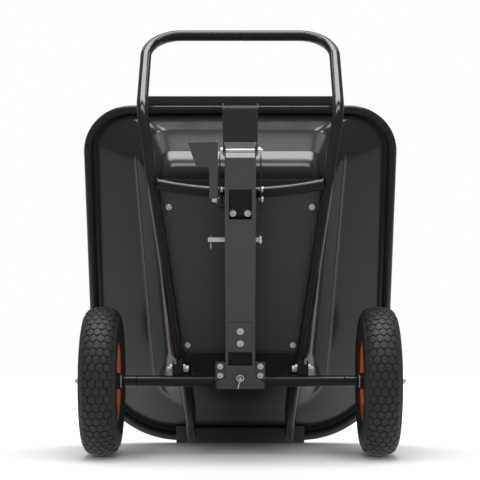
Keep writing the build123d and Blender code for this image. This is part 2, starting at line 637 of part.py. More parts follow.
def build():
    """Make every sub-part and write it."""
    os.makedirs("parts", exist_ok=True)

    frame_right, frame_bar = tube(frame_path(), TUBE_RADIUS, TUBE_WALL)
    frame_bar_left = mirrored(frame_bar)
    crossbar, crossbar_bar = tube(crossbar_path(), CROSSBAR_RADIUS, CROSSBAR_WALL)
    support, support_bar = front_support()

    save("tub", tub())
    save("rear_lip", rear_lip())
    save("nose_guard", nose_guard())
    save("frame_tube_right", frame_right)
    save("frame_tube_left", mirrored(frame_right))
    grip_at = HANDLE_CORNER[1:]
    sleeve = rod_x(TUBE_RADIUS - TUBE_WALL, -SLEEVE_HALF, SLEEVE_HALF, *grip_at)
    save("handle_sleeve", sleeve - rod_x(11, -SLEEVE_HALF, SLEEVE_HALF, *grip_at))
    save("crossbar", crossbar - frame_bar - frame_bar_left)
    base = base_plate() - frame_bar - frame_bar_left
    save("base_plate", base)
    save("front_support_right", support)
    save("front_support_left", mirrored(support))
    lug = pivot_lug([frame_bar, support_bar, base])
    save("pivot_lugs", lug, mirrored(lug))
    plate = latch_plate(crossbar_bar)
    f, u = LEVER_PIVOT
    plate = plate - rod_x(BOLT_M8, 40, 60, *PLATE_BOLT_AT)
    save("latch_plate_right", plate - rod_x(BOLT_M8, 40, 60, f, u))
    save("latch_plate_left", mirrored(plate) - rod_x(PIVOT_BOLT + RUNNING_GAP, -60, -40, f, u))

    floor_bolts = []
    floor_nuts = []
    for x, y in FLOOR_HOLES:
        for side in (-1, 1):
            floor_bolts.append(headed_bolt(side * x, y, FLOOR_Z - 2, 11))
            floor_nuts.append(nut_z(FLOOR_Z + TUB_SHEET, FLOOR_Z + 8, side * x, y, BOLT_M8, M8_FLATS))
    save("tub_bolts", *floor_bolts)
    save("tub_nuts", *floor_nuts)

    plate_bolts = [
        cross_bolt(-46, -54, -5, *PLATE_BOLT_AT, BOLT_M8, M8_FLATS),
        cross_bolt(59, 48, -5, *PLATE_BOLT_AT, BOLT_M8, M8_FLATS),
        cross_bolt(59, 48, -5, f, u, BOLT_M8, M8_FLATS),
    ]
    save("latch_plate_bolts", *plate_bolts)

    pf, pu = PIVOT
    bolt = cross_bolt(PIVOT_X - 28, PIVOT_X + 29, 7, pf, pu, PIVOT_BOLT, M10_FLATS)
    collar = rod_x(8.5, PIVOT_X - 21, PIVOT_X - 15.3, pf, pu)
    bolt = bolt + collar
    save("pivot_bolts", bolt, mirrored(bolt))
    nut = hex_x(M10_FLATS, PIVOT_X + 15.3, PIVOT_X + 23, pf, pu)
    cap = rod_x(7.5, PIVOT_X + 23, PIVOT_X + 32, pf, pu)
    cap = fillet(cap.faces().sort_by(Axis.X)[-1].edges(), 5)
    nut = nut + cap - rod_x(PIVOT_BOLT, PIVOT_X + 10, PIVOT_X + 29, pf, pu)
    save("pivot_nuts", nut, mirrored(nut))

    save("axle_tube", axle_tube())
    stub = axle_stub()
    save("axle_stub_right", stub)
    save("axle_stub_left", mirrored(stub))
    washer = rod_x(17, STUB_END, STUB_END + 1.8, 0, 0) - rod_x(SPINDLE_RADIUS, 300, 340, 0, 0)
    end_nut = hex_x(17, 429, 438, 0, 0)
    end_cap = fillet(rod_x(8, 438, 446, 0, 0).faces().sort_by(Axis.X)[-1].edges(), 5)
    end_nut = end_nut + end_cap - rod_x(5.0, 428, 444, 0, 0)
    save("axle_end_nuts", end_nut, mirrored(end_nut))
    end_washer = rod_x(12, 421.4, 429, 0, 0) - rod_x(SPINDLE_RADIUS, 420, 428, 0, 0)
    end_washer = end_washer - rod_x(5.0, 427, 430, 0, 0)
    save("axle_washers", washer, mirrored(washer), end_washer, mirrored(end_washer))
    ear = axle_ear()
    save("axle_ears", ear, mirrored(ear))
    save("spine", spine())
    save("spine_catch", catch_lug())
    save("spine_plates", ramp(), socket_plate())
    ramp_bolts = []
    for x in (-RAMP_BOLT_X, RAMP_BOLT_X):
        ramp_bolts.append(headed_bolt(x, RAMP_BOLT_F, RAMP_TOP - 3, 14, WIDE_HEAD_RADIUS))
    save("ramp_bolts", *ramp_bolts)
    save("front_plate", front_plate())
    plate_bolts = []
    for y in FRONT_PLATE_BOLT_F:
        plate_bolts.append(headed_bolt(0, y, SPINE_BOTTOM - 2.5, 14, WIDE_HEAD_RADIUS))
    save("front_plate_bolts", *plate_bolts)
    saddle = []
    saddle_nuts = []
    for side in (-1, 1):
        for y in SADDLE_BOLT_F:
            saddle.append(headed_bolt(side * SADDLE_BOLT_X, y, -18, 14))
            saddle_nuts.append(nut_z(-11, -5, side * SADDLE_BOLT_X, y, BOLT_M8, M8_FLATS))
    save("saddle_bolts", *saddle)
    save("saddle_nuts", *saddle_nuts)
    clevis = pivot_bracket()
    save("pivot_bracket_right", clevis)
    save("pivot_bracket_left", mirrored(clevis))
    ties = bracket_bolt()
    save("bracket_bolts", *ties, *[mirrored(s) for s in ties])
    sf, su = STAND_PIVOT
    save("stand_bolt", cross_bolt(-50.5, 57, 6, sf, su, PIVOT_BOLT, M10_FLATS))
    save("stand_nut", nut_x(44.5, 52, sf, su, PIVOT_BOLT, M10_FLATS))
    save("lock_pin", lock_pin())
    save("lock_clip", lock_clip())

    save("stand_leg", stand_leg())
    save("latch_lever", latch_lever())
    save("latch_cam", latch_cam())
    save("lever_shaft", lever_shaft())
    save("lever_nut", lever_nut())
    save("draw_pin", draw_pin())
    save("pin_clip", pin_clip())

    wheel_parts = {
        "tyre": [tyre()],
        "rim_outer": [rim_half() - valve_stem()],
        "rim_inner": [mirrored(rim_half())],
        "hub": [hub()],
        "rim_bolts": rim_bolts(),
        "valve_stem": [valve_stem()],
        "bearings": [bearing(38, 49), bearing(-49, -38)],
    }
    for name, solids in wheel_parts.items():
        right = [Pos(WHEEL_X, 0, 0) * s for s in solids]
        save(f"{name}_right", *right)
        save(f"{name}_left", *[mirrored(s) for s in right])


build()
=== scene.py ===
import math
import random

import bmesh
import bpy
from mathutils import Matrix, Vector


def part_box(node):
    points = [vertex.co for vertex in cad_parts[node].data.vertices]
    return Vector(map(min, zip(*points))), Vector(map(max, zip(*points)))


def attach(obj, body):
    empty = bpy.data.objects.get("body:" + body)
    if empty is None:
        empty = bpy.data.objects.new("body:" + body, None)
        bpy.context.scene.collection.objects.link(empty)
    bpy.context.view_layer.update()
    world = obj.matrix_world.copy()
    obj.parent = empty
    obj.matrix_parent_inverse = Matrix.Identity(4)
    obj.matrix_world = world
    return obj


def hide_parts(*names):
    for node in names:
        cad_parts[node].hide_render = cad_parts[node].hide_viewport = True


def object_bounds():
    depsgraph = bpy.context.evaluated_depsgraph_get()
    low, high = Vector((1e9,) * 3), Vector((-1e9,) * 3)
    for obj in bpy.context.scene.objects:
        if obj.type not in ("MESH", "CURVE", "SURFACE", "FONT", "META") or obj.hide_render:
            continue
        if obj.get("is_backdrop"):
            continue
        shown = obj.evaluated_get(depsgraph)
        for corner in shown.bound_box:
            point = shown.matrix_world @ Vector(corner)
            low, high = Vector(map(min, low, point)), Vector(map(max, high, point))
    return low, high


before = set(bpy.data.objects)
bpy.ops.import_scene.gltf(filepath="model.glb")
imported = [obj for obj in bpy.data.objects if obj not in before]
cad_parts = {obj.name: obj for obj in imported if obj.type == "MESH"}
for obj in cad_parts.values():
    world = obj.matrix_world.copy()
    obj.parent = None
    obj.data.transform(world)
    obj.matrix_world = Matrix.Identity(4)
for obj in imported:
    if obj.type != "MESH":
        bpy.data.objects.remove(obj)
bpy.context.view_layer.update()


# ---------------------------------------------------------------- tub
# A pressed steel tub, 1.5 mm sheet, with a flat floor, a heel, creased walls, a flange
# and an edge rolled into a hollow bead. Gloss black enamel over the whole pressing.
# Pieces are drawn with the cart level: X to the side, Y forward, Z up, axle at the origin.
TIP = math.radians(66)
axle_low, axle_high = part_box("axle_tube")
LEVEL = Matrix.Translation((axle_low + axle_high) / 2) @ Matrix.Rotation(-TIP, 4, "X")

SHEET = 0.0015
BEAD_HALF_WIDTH = 0.012
BEAD_HALF_HEIGHT = 0.009
RIM_TOP = 0.330
# half width at the rear and front, rear edge, front edge, rear and front corner radii, height
TUB_LEVELS = [
    (0.2120, 0.1620, -0.5620, -0.038, 0.046, 0.040, 0.0720),
    (0.2280, 0.1780, -0.5780, 0.002, 0.060, 0.060, 0.0840),
    (0.2400, 0.1900, -0.5920, 0.036, 0.070, 0.080, 0.1060),
    (0.2520, 0.2020, -0.6040, 0.076, 0.076, 0.092, 0.1370),
    (0.2880, 0.2400, -0.6283, 0.213, 0.090, 0.130, 0.2500),
    (0.4000, 0.4000, -0.6510, 0.321, 0.103, 0.223, 0.3285),
]
TUB_BENDS = [0.008, 0.012, 0.012, 0.006, 0.010, 0.006]
RING_STEPS = {"rear": 7, "rear_corner": 22, "side": 30, "front_corner": 40, "front": 8}


def blend_levels(low, high, share):
    return tuple(a + (b - a) * share for a, b in zip(low, high))


def rim_level(inset, height):
    """The rim's outline drawn in by a distance, as one level of the tub."""
    half = 0.432 - inset
    return (half, half, -0.677 + inset, 0.353 - inset, 0.135 - inset, 0.255 - inset, height)


def corner_arc(before, corner, after, radius, steps):
    """Points of the arc that rounds one corner of an outline."""
    back = (before - corner).normalized()
    ahead = (after - corner).normalized()
    half_angle = back.angle(ahead) / 2
    centre = corner + (back + ahead).normalized() * radius / math.sin(half_angle)
    start = corner + back * radius / math.tan(half_angle) - centre
    turn = math.pi - 2 * half_angle
    return [centre + Matrix.Rotation(turn * k / steps, 2) @ start for k in range(steps + 1)]


def ring_points(level):
    """A closed, rounded outline with the same number of points on every level."""
    half_rear, half_front, rear, front, r_rear, r_front, height = level
    corners = [
        Vector((half_rear, rear)), Vector((half_front, front)),
        Vector((-half_front, front)), Vector((-half_rear, rear)),
    ]
    radii = [r_rear, r_front, r_front, r_rear]
    arc_steps = [RING_STEPS[f"{k}_corner"] for k in ("rear", "front", "front", "rear")]
    arcs = []
    for k, corner in enumerate(corners):
        arcs.append(corner_arc(corners[k - 1], corner, corners[(k + 1) % 4], radii[k], arc_steps[k]))
    run_steps = [RING_STEPS[k] for k in ("side", "front", "side", "rear")]
    points = []
    for k, arc in enumerate(arcs):
        points += arc
        start, end = arc[-1], arcs[(k + 1) % 4][0]
        points += [start.lerp(end, n / run_steps[k]) for n in range(1, run_steps[k])]
    return [Vector((p.x, p.y, height)) for p in points]


def bent_levels(levels, bends, steps=7):
    """The levels of a wall with each bend rounded over a short length either side of it."""
    out = [levels[0]]
    for k in range(1, len(levels) - 1):
        below, here, above = levels[k - 1], levels[k], levels[k + 1]
        down = math.dist((below[0], below[6]), (here[0], here[6]))
        up = math.dist((above[0], above[6]), (here[0], here[6]))
        start = blend_levels(here, below, min(0.48, bends[k] / down))
        end = blend_levels(here, above, min(0.48, bends[k] / up))
        for n in range(steps + 1):
            t = n / steps
            out.append(blend_levels(blend_levels(start, here, t), blend_levels(here, end, t), t))
    out.append(levels[-1])
    return out


def shell_mesh(name, rings, closed_ends=True):
    """A mesh through rings of points that all have the same count."""
    work = bmesh.new()
    grid = [[work.verts.new(p) for p in ring] for ring in rings]
    count = len(rings[0])
    for low, high in zip(grid, grid[1:]):
        for k in range(count):
            n = (k + 1) % count
            work.faces.new((low[k], low[n], high[n], high[k]))
    if closed_ends:
        work.faces.new(list(reversed(grid[0])))
        work.faces.new(grid[-1])
    bmesh.ops.recalc_face_normals(work, faces=work.faces)
    mesh = bpy.data.meshes.new(name)
    work.to_mesh(mesh)
    work.free()
    return mesh


def bead_rings(sheet, start, end, steps):
    """The rolled edge: rings about the bead's centre from one angle to another, in degrees."""
    rings = []
    for k in range(steps + 1):
        angle = math.radians(start + (end - start) * k / steps)
        inset = BEAD_HALF_WIDTH + (BEAD_HALF_WIDTH - sheet) * math.cos(angle)
        height = RIM_TOP - BEAD_HALF_HEIGHT + (BEAD_HALF_HEIGHT - sheet) * math.sin(angle)
        rings.append(rim_level(inset, height))
    return rings


def add_node(tree, kind, values=None, **settings):
    """A shader node with its settings, and a value or a link for each named input."""
    made = tree.nodes.new(kind)
    for key, value in settings.items():
        setattr(made, key, value)
    for key, value in (values or {}).items():
        if isinstance(value, bpy.types.NodeSocket):
            tree.links.new(value, made.inputs[key])
        else:
            made.inputs[key].default_value = value
    return made


def maths(tree, operation, first, second=0.5, clamp=False):
    """The output of one math node."""
    values = {0: first, 1: second}
    made = add_node(tree, "ShaderNodeMath", values, operation=operation, use_clamp=clamp)
    return made.outputs[0]


def noise(tree, place, scale, detail=2.0, roughness=0.5):
    """Noise over the surface, around one half."""
    values = {"Vector": place, "Scale": scale, "Detail": detail, "Roughness": roughness}
    return add_node(tree, "ShaderNodeTexNoise", values).outputs[0]


def blended(tree, share, first, second):
    """One colour mixed into another."""
    made = add_node(tree, "ShaderNodeMix", data_type="RGBA")
    for socket, value in ((0, share), (6, first), (7, second)):
        if isinstance(value, bpy.types.NodeSocket):
            tree.links.new(value, made.inputs[socket])
        else:
            made.inputs[socket].default_value = value
    return made.outputs[2]


def new_group(name, inputs, outputs):
    """An empty shader node group with named inputs and outputs."""
    group = bpy.data.node_groups.new(name, "ShaderNodeTree")
    for socket, kind, value in inputs:
        made = group.interface.new_socket(name=socket, in_out="INPUT", socket_type="NodeSocket" + kind)
        made.default_value = value
    for socket, kind in outputs:
        group.interface.new_socket(name=socket, in_out="OUTPUT", socket_type="NodeSocket" + kind)
    return group, group.nodes.new("NodeGroupInput").outputs, group.nodes.new("NodeGroupOutput").inputs


def paint_film_group():
    """Sprayed paint: slight orange peel, a thin pale line on edges that is a painted highlight and partly worn
    paint, faint dust on top faces.
    """
    group, put, get = new_group(
        "paint_film",
        [("Colour", "Color", (0.01, 0.01, 0.01, 1)), ("Edge Colour", "Color", (0.1, 0.1, 0.1, 1)),
         ("Edge Radius", "Float", 0.0008), ("Edge Amount", "Float", 0.5), ("Peel Size", "Float", 500.0),
         ("Peel Height", "Float", 0.1), ("Roughness", "Float", 0.2), ("Dust", "Float", 0.05)],
        [("Colour", "Color"), ("Roughness", "Float"), ("Normal", "Vector")])
    place = add_node(group, "ShaderNodeTexCoord").outputs["Object"]
    face = add_node(group, "ShaderNodeNewGeometry")
    rounded = add_node(group, "ShaderNodeBevel", {"Radius": put["Edge Radius"]}, samples=4)
    facing = add_node(
        group, "ShaderNodeVectorMath", {0: rounded.outputs[0], 1: face.outputs["Normal"]},
        operation="DOT_PRODUCT").outputs["Value"]
    # The pale edge colour is a painted highlight along edges, and partly paint worn thin there.
    edge = maths(group, "MULTIPLY", maths(group, "SUBTRACT", 1.0, facing, True), 4.0, True)
    patches = noise(group, place, 18.0, 3.0, 0.6)
    edge_highlight_and_wear = maths(group, "MULTIPLY", maths(group, "MULTIPLY", edge, patches), put["Edge Amount"], True)
    colour = blended(group, edge_highlight_and_wear, put["Colour"], put["Edge Colour"])
    upward = add_node(group, "ShaderNodeSeparateXYZ", {0: face.outputs["Normal"]}).outputs["Z"]
    settled = maths(group, "MULTIPLY", maths(group, "MULTIPLY", upward, patches, True), put["Dust"], True)
    group.links.new(blended(group, settled, colour, (0.30, 0.29, 0.27, 1)), get["Colour"])
    drift = maths(group, "MULTIPLY", maths(group, "SUBTRACT", noise(group, place, 7.0, 4.0), 0.5), 0.12)
    rough = maths(group, "ADD", maths(group, "ADD", put["Roughness"], drift), settled)
    group.links.new(maths(group, "ADD", rough, maths(group, "MULTIPLY", edge_highlight_and_wear, 0.2), True), get["Roughness"])
    peel = noise(group, place, put["Peel Size"], 2.0, 0.4)
    bump = add_node(
        group, "ShaderNodeBump",
        {"Strength": put["Peel Height"], "Distance": 0.0002, "Height": peel, "Normal": rounded.outputs[0]})
    group.links.new(bump.outputs[0], get["Normal"])
    return group


PAINT_FILM = paint_film_group()


def painted(name, colour, edge, roughness, peel=(500.0, 0.08), amount=0.5):
    """A painted finish made with the paint film."""
    finish = bpy.data.materials.new(name)
    finish.use_nodes = True
    tree = finish.node_tree
    shader = tree.nodes["Principled BSDF"]
    film = add_node(tree, "ShaderNodeGroup", node_tree=PAINT_FILM)
    for socket, value in (
            ("Colour", (*colour, 1)), ("Edge Colour", (*edge, 1)), ("Edge Radius", 0.0008),
            ("Edge Amount", amount), ("Peel Size", peel[0]), ("Peel Height", peel[1]),
            ("Roughness", roughness), ("Dust", 0.02)):
        film.inputs[socket].default_value = value
    tree.links.new(film.outputs["Colour"], shader.inputs["Base Color"])
    tree.links.new(film.outputs["Roughness"], shader.inputs["Roughness"])
    tree.links.new(film.outputs["Normal"], shader.inputs["Normal"])
    return finish


def add_piece(name, mesh, finish, body, stands_for, where=LEVEL, edge=0.0, smooth=35):
    """Put a piece in place, give it its finish and hide the nodes it stands for."""
    mesh.materials.clear()
    mesh.materials.append(finish)
    for face in mesh.polygons:
        face.use_smooth = True
    mesh.set_sharp_from_angle(angle=math.radians(smooth))
    piece = bpy.data.objects.new(name, mesh)
    bpy.context.scene.collection.objects.link(piece)
    mesh.transform(where)
    if edge:
        rounding = piece.modifiers.new("rounded_edges", "BEVEL")
        rounding.width = edge
        rounding.segments = 3
        rounding.limit_method = "ANGLE"
        rounding.angle_limit = math.radians(smooth)
        rounding.harden_normals = True
    else:
        flat = piece.modifiers.new("flat_faces", "WEIGHTED_NORMAL")
        flat.keep_sharp = True
    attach(piece, body)
    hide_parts(*stands_for)
    return piece


def tub_mesh():
    walls = bent_levels(TUB_LEVELS + [rim_level(0.026, RIM_TOP - SHEET)], TUB_BENDS)
    walls += [rim_level(inset, RIM_TOP - SHEET) for inset in (0.020, 0.015)]
    inner = [tuple(v - SHEET * s for v, s in zip(level, (1, 1, -1, 1, 1, 1, -1))) for level in walls]
    rolled = bead_rings(SHEET, 90, 400, 36)
    rolled += bead_rings(0.0, 400, 90, 40)
    levels = walls + rolled + list(reversed(inner))
    return shell_mesh("tub_shell", [ring_points(level) for level in levels])


tub_enamel = painted("tub_enamel", (0.017, 0.017, 0.0175), (0.05, 0.05, 0.05), 0.17)
add_piece("tub_shell", tub_mesh(), tub_enamel, "tub_frame", ["tub"], smooth=60)


# ---------------------------------------------------------------- strip on the rear rim
# A folded steel strip along the top of the rear rim between the legs of the handle,
# with its rear edge turned up. Satin black powder coat.
def outline_prism(points, low, high, axis):
    """A block with a flat outline in the two other axes, between two levels along one axis."""
    places = {"X": lambda a, b, c: (c, a, b), "Y": lambda a, b, c: (a, c, b), "Z": lambda a, b, c: (a, b, c)}
    work = bmesh.new()
    bottom = [work.verts.new(places[axis](a, b, low)) for a, b in points]
    top = [work.verts.new(places[axis](a, b, high)) for a, b in points]
    work.faces.new(bottom)
    work.faces.new(list(reversed(top)))
    for k in range(len(points)):
        n = (k + 1) % len(points)
        work.faces.new((bottom[k], top[k], top[n], bottom[n]))
    bmesh.ops.recalc_face_normals(work, faces=work.faces)
    mesh = bpy.data.meshes.new("outline_prism")
    work.to_mesh(mesh)
    work.free()
    return mesh


def block(x0, x1, y0, y1, z0, z1):
    """A plain block, to be joined to or cut from a piece."""
    return outline_prism([(x0, y0), (x1, y0), (x1, y1), (x0, y1)], z0, z1, "Z")


# Its pale edge colour is partly a painted highlight along the edges, partly wear.
satin_black = painted(
    "satin_black", (0.016, 0.016, 0.0165), (0.16, 0.16, 0.16), 0.40, peel=(900.0, 0.25), amount=0.9)
matt_strip = painted("matt_strip", (0.028, 0.028, 0.029), (0.08, 0.08, 0.08), 0.62, peel=(1200.0, 0.3))
STRIP_REAR = -0.699
STRIP_FRONT = -0.659
STRIP_SHEET = 0.003
strip_section = [
    (STRIP_REAR, RIM_TOP), (STRIP_FRONT, RIM_TOP), (STRIP_FRONT, RIM_TOP + STRIP_SHEET),
    (STRIP_REAR + STRIP_SHEET, RIM_TOP + STRIP_SHEET),
    (STRIP_REAR + STRIP_SHEET, RIM_TOP + 0.009), (STRIP_REAR, RIM_TOP + 0.009),
]
add_piece(
    "rear_strip", outline_prism(strip_section, -0.255, 0.255, "X"), matt_strip,
    "tub_frame", ["rear_lip"], edge=0.0008)


# ---------------------------------------------------------------- nose guard
# An angle of steel under the nose of the rim, with an upstand in front and two ears
# that the front supports are welded to. It takes the cart's weight when it is tipped.
def carve(base, add=(), cut=()):
    """Join blocks to a base block, then cut others from it."""
    work = bpy.data.objects.new("work", base)
    bpy.context.scene.collection.objects.link(work)
    tools = []
    for mesh, way in [(m, "UNION") for m in add] + [(m, "DIFFERENCE") for m in cut]:
        tool = bpy.data.objects.new("tool", mesh)
        bpy.context.scene.collection.objects.link(tool)
        tools.append(tool)
        step = work.modifiers.new("step", "BOOLEAN")
        step.operation = way
        step.solver = "EXACT"
        step.object = tool
    bpy.context.view_layer.update()
    mesh = bpy.data.meshes.new_from_object(work.evaluated_get(bpy.context.evaluated_depsgraph_get()))
    for item in tools + [work]:
        bpy.data.objects.remove(item)
    clean = bmesh.new()
    clean.from_mesh(mesh)
    bmesh.ops.remove_doubles(clean, verts=clean.verts, dist=1e-6)
    bmesh.ops.dissolve_limit(clean, angle_limit=0.01, verts=clean.verts, edges=clean.edges)
    clean.to_mesh(mesh)
    clean.free()
    return mesh


GUARD_BOTTOM = 0.309
guard_section = [
    (0.306, GUARD_BOTTOM), (0.3565, GUARD_BOTTOM), (0.3565, 0.329), (0.3535, 0.329),
    (0.3535, GUARD_BOTTOM + 0.003), (0.306, GUARD_BOTTOM + 0.003),
]
guard = outline_prism(guard_section, -0.190, 0.190, "X")
guard_ears = [block(x, x + 0.036, 0.300, 0.307, GUARD_BOTTOM, GUARD_BOTTOM + 0.003) for x in (-0.190, 0.154)]
add_piece(
    "nose_guard_angle", carve(guard, add=guard_ears), satin_black,
    "tub_frame", ["nose_guard"], edge=0.0008)


# ---------------------------------------------------------------- frame tubes
# Two 30 mm steel tubes, bent into rails, knees and the loop handle, and butted over an
# inner sleeve at the middle of the handle. Gloss black enamel.
def rounded_path(corners, radii, step=math.radians(3)):
    """Points along straight runs joined by tangent arcs."""
    corners = [Vector(c) for c in corners]
    points = [corners[0]]
    for k in range(1, len(corners) - 1):
        back = (corners[k - 1] - corners[k]).normalized()
        ahead = (corners[k + 1] - corners[k]).normalized()
        half_angle = back.angle(ahead) / 2
        centre = corners[k] + (back + ahead).normalized() * radii[k - 1] / math.sin(half_angle)
        start = corners[k] + back * radii[k - 1] / math.tan(half_angle) - centre
        axis = back.cross(ahead).normalized()
        turn = math.pi - 2 * half_angle
        steps = max(4, round(turn / step))
        points += [centre + Matrix.Rotation(-turn * n / steps, 3, axis) @ start for n in range(steps + 1)]
    return points + [corners[-1]]


def spread(points, longest):
    """The same path with its long runs divided."""
    out = [points[0]]
    for start, end in zip(points, points[1:]):
        parts = max(1, math.ceil((end - start).length / longest))
        out += [start.lerp(end, n / parts) for n in range(1, parts + 1)]
    return out


def swept_tube(path, radius, sides=40, end_round=0.001, thick=None, closed=False):
    """A round bar along a path, its section carried without twist, its ends slightly rounded.
    thick gives a radius for each point of the path."""
    path = [Vector(p) for p in path]
    count = len(path)
    heads = []
    for k in range(count):
        before = path[k - 1] if closed or k else path[0]
        after = path[(k + 1) % count] if closed or k < count - 1 else path[-1]
        heads.append((after - before).normalized())
    side = heads[0].orthogonal().normalized()
    rings = []
    for k, (centre, head) in enumerate(zip(path, heads)):
        side = (side - head * side.dot(head)).normalized()
        other = head.cross(side)
        size = thick[k] if thick else radius
        ring = []
        for n in range(sides):
            turn = math.tau * n / sides
            ring.append(centre + (side * math.cos(turn) + other * math.sin(turn)) * size)
        rings.append(ring)
    if closed:
        return shell_mesh("swept_tube", rings + [rings[0]], closed_ends=False)
    lip_start = [c.lerp(path[0], end_round / radius) for c in rings[0]]
    lip_end = [c.lerp(path[-1], end_round / radius) for c in rings[-1]]
    shift = heads[0] * end_round
    rings[0] = [c + shift for c in rings[0]]
    rings[-1] = [c - heads[-1] * end_round for c in rings[-1]]
    return shell_mesh("swept_tube", [lip_start] + rings + [lip_end])


tube_enamel = painted(
    "tube_enamel", (0.012, 0.012, 0.0125), (0.08, 0.08, 0.08), 0.15, peel=(400.0, 0.10), amount=0.3)
HANDLE_TOP = (-0.832, 0.489)
for side, word in ((-1, "left"), (1, "right")):
    bends = [
        (side * 0.167, -0.048, 0.055), (side * 0.228, -0.545, 0.055), (side * 0.260, -0.706, 0.185),
        (side * 0.260, *HANDLE_TOP), (side * 0.0004, *HANDLE_TOP),
    ]
    run = spread(rounded_path(bends, [0.120, 0.120, 0.095]), 0.03)
    add_piece(
        f"frame_tube_{word}_bent", swept_tube(run, 0.015), tube_enamel,
        "tub_frame", [f"frame_tube_{word}"], smooth=50)


# ---------------------------------------------------------------- crossbar
# A 25 mm tube bowed between the rails and welded to them; the latch plates are welded
# to it on each side of the spine. Each weld is a rippled bead under the enamel.
def weld_bead(path, radius, seed):
    """A closed run of weld along a path, its thickness rippled as the torch moved on."""
    rng = random.Random(seed)
    thick = [radius * (0.85 + 0.25 * math.sin(1.7 * k) + 0.2 * rng.random()) for k in range(len(path))]
    return swept_tube(path, radius, sides=10, thick=thick, closed=True)


def joined(meshes):
    """Several separate solids in one mesh."""
    work = bmesh.new()
    for mesh in meshes:
        work.from_mesh(mesh)
    out = bpy.data.meshes.new("joined")
    work.to_mesh(out)
    work.free()
    return out


def circle_points(centre, axis, radius, count):
    """A ring of points about an axis."""
    axis = Vector(axis).normalized()
    side = axis.orthogonal().normalized()
    other = axis.cross(side)
    turns = [math.tau * k / count for k in range(count)]
    return [Vector(centre) + (side * math.cos(t) + other * math.sin(t)) * radius for t in turns]


BOW_END = Vector((0.226, -0.543, 0.054))
BOW_MIDDLE = Vector((0.0, -0.523, 0.038))


def bow_points(count):
    """The crossbar's centre line: an arc through both rails and a lower point in the middle."""
    rise = (BOW_END.yz - BOW_MIDDLE.yz).length
    reach = BOW_END.x
    bow_radius = (reach * reach + rise * rise) / (2 * rise)
    widest = math.asin(reach / bow_radius)
    drop = (BOW_END.yz - BOW_MIDDLE.yz).normalized()
    points = []
    for k in range(count + 1):
        turn = widest * (2 * k / count - 1)
        lift = drop * bow_radius * (1 - math.cos(turn))
        points.append(Vector((bow_radius * math.sin(turn), BOW_MIDDLE.y + lift.x, BOW_MIDDLE.z + lift.y)))
    return points


bow = [p for p in bow_points(40) if abs(p.x) < 0.222]
add_piece(
    "crossbar_bow", swept_tube(bow, 0.0145), tube_enamel, "tub_frame", ["crossbar"], smooth=50)
bow_welds = []
for side in (-1, 1):
    seam = circle_points((side * 0.2125, -0.5406, 0.0521), (1, 0.16 * side, 0), 0.0151, 44)
    bow_welds.append(weld_bead(seam, 0.0021, 5 + side))
add_piece("crossbar_welds", joined(bow_welds), tube_enamel, "tub_frame", [], smooth=80)


# ---------------------------------------------------------------- base plate
# A flat plate across the rails that the tub's floor is bolted to, with its front edge
# turned down as a hem. Black enamel.
FLOOR = 0.072
plate = outline_prism([(-0.232, -0.548), (0.232, -0.548), (0.171, -0.054), (-0.171, -0.054)],
                      FLOOR - 0.002, FLOOR, "Z")
hem = block(-0.140, 0.140, -0.056, -0.054, FLOOR - 0.008, FLOOR - 0.0005)
base_enamel = painted("base_enamel", (0.037, 0.037, 0.038), (0.12, 0.12, 0.12), 0.42, peel=(450.0, 0.12))
add_piece(
    "base_plate_sheet", carve(plate, add=[hem]), base_enamel,
    "tub_frame", ["base_plate"], edge=0.0006)


# ---------------------------------------------------------------- front supports
# Two 28 mm tubes from the tipping pivots, close under the sloping front wall, to the
# ears of the nose guard. Gloss black enamel.
for side, word in ((-1, "left"), (1, "right")):
    bends = [(side * 0.1559, 0.0072, 0.0654), (side * 0.147, 0.262, 0.258), (side * 0.145, 0.332, 0.295)]
    add_piece(
        f"front_support_{word}_bent", swept_tube(spread(rounded_path(bends, [0.090]), 0.03), 0.014),
        tube_enamel, "tub_frame", [f"front_support_{word}"], smooth=50)


# ---------------------------------------------------------------- latch plates
# Two flat side plates cut from 3 mm steel and welded to the crossbar, one each side of
# the spine. The left one carries the foot lever's shaft.
latch_outline = [
    (-0.630, 0.006), (-0.612, -0.014), (-0.500, -0.014), (-0.488, -0.002),
    (-0.488, 0.040), (-0.512, 0.056), (-0.546, 0.056), (-0.600, 0.034), (-0.630, 0.026),
]
for side, word in ((-1, "left"), (1, "right")):
    low, high = sorted((side * 0.051, side * 0.054))
    bar = swept_tube([p for p in bow if side * p.x > 0.03 and side * p.x < 0.09], 0.0147, end_round=0.0001)
    cut_plate = carve(outline_prism(latch_outline, low, high, "X"), cut=[bar])
    add_piece(
        f"latch_plate_{word}_cut", cut_plate, satin_black,
        "tub_frame", [f"latch_plate_{word}"], edge=0.0005)


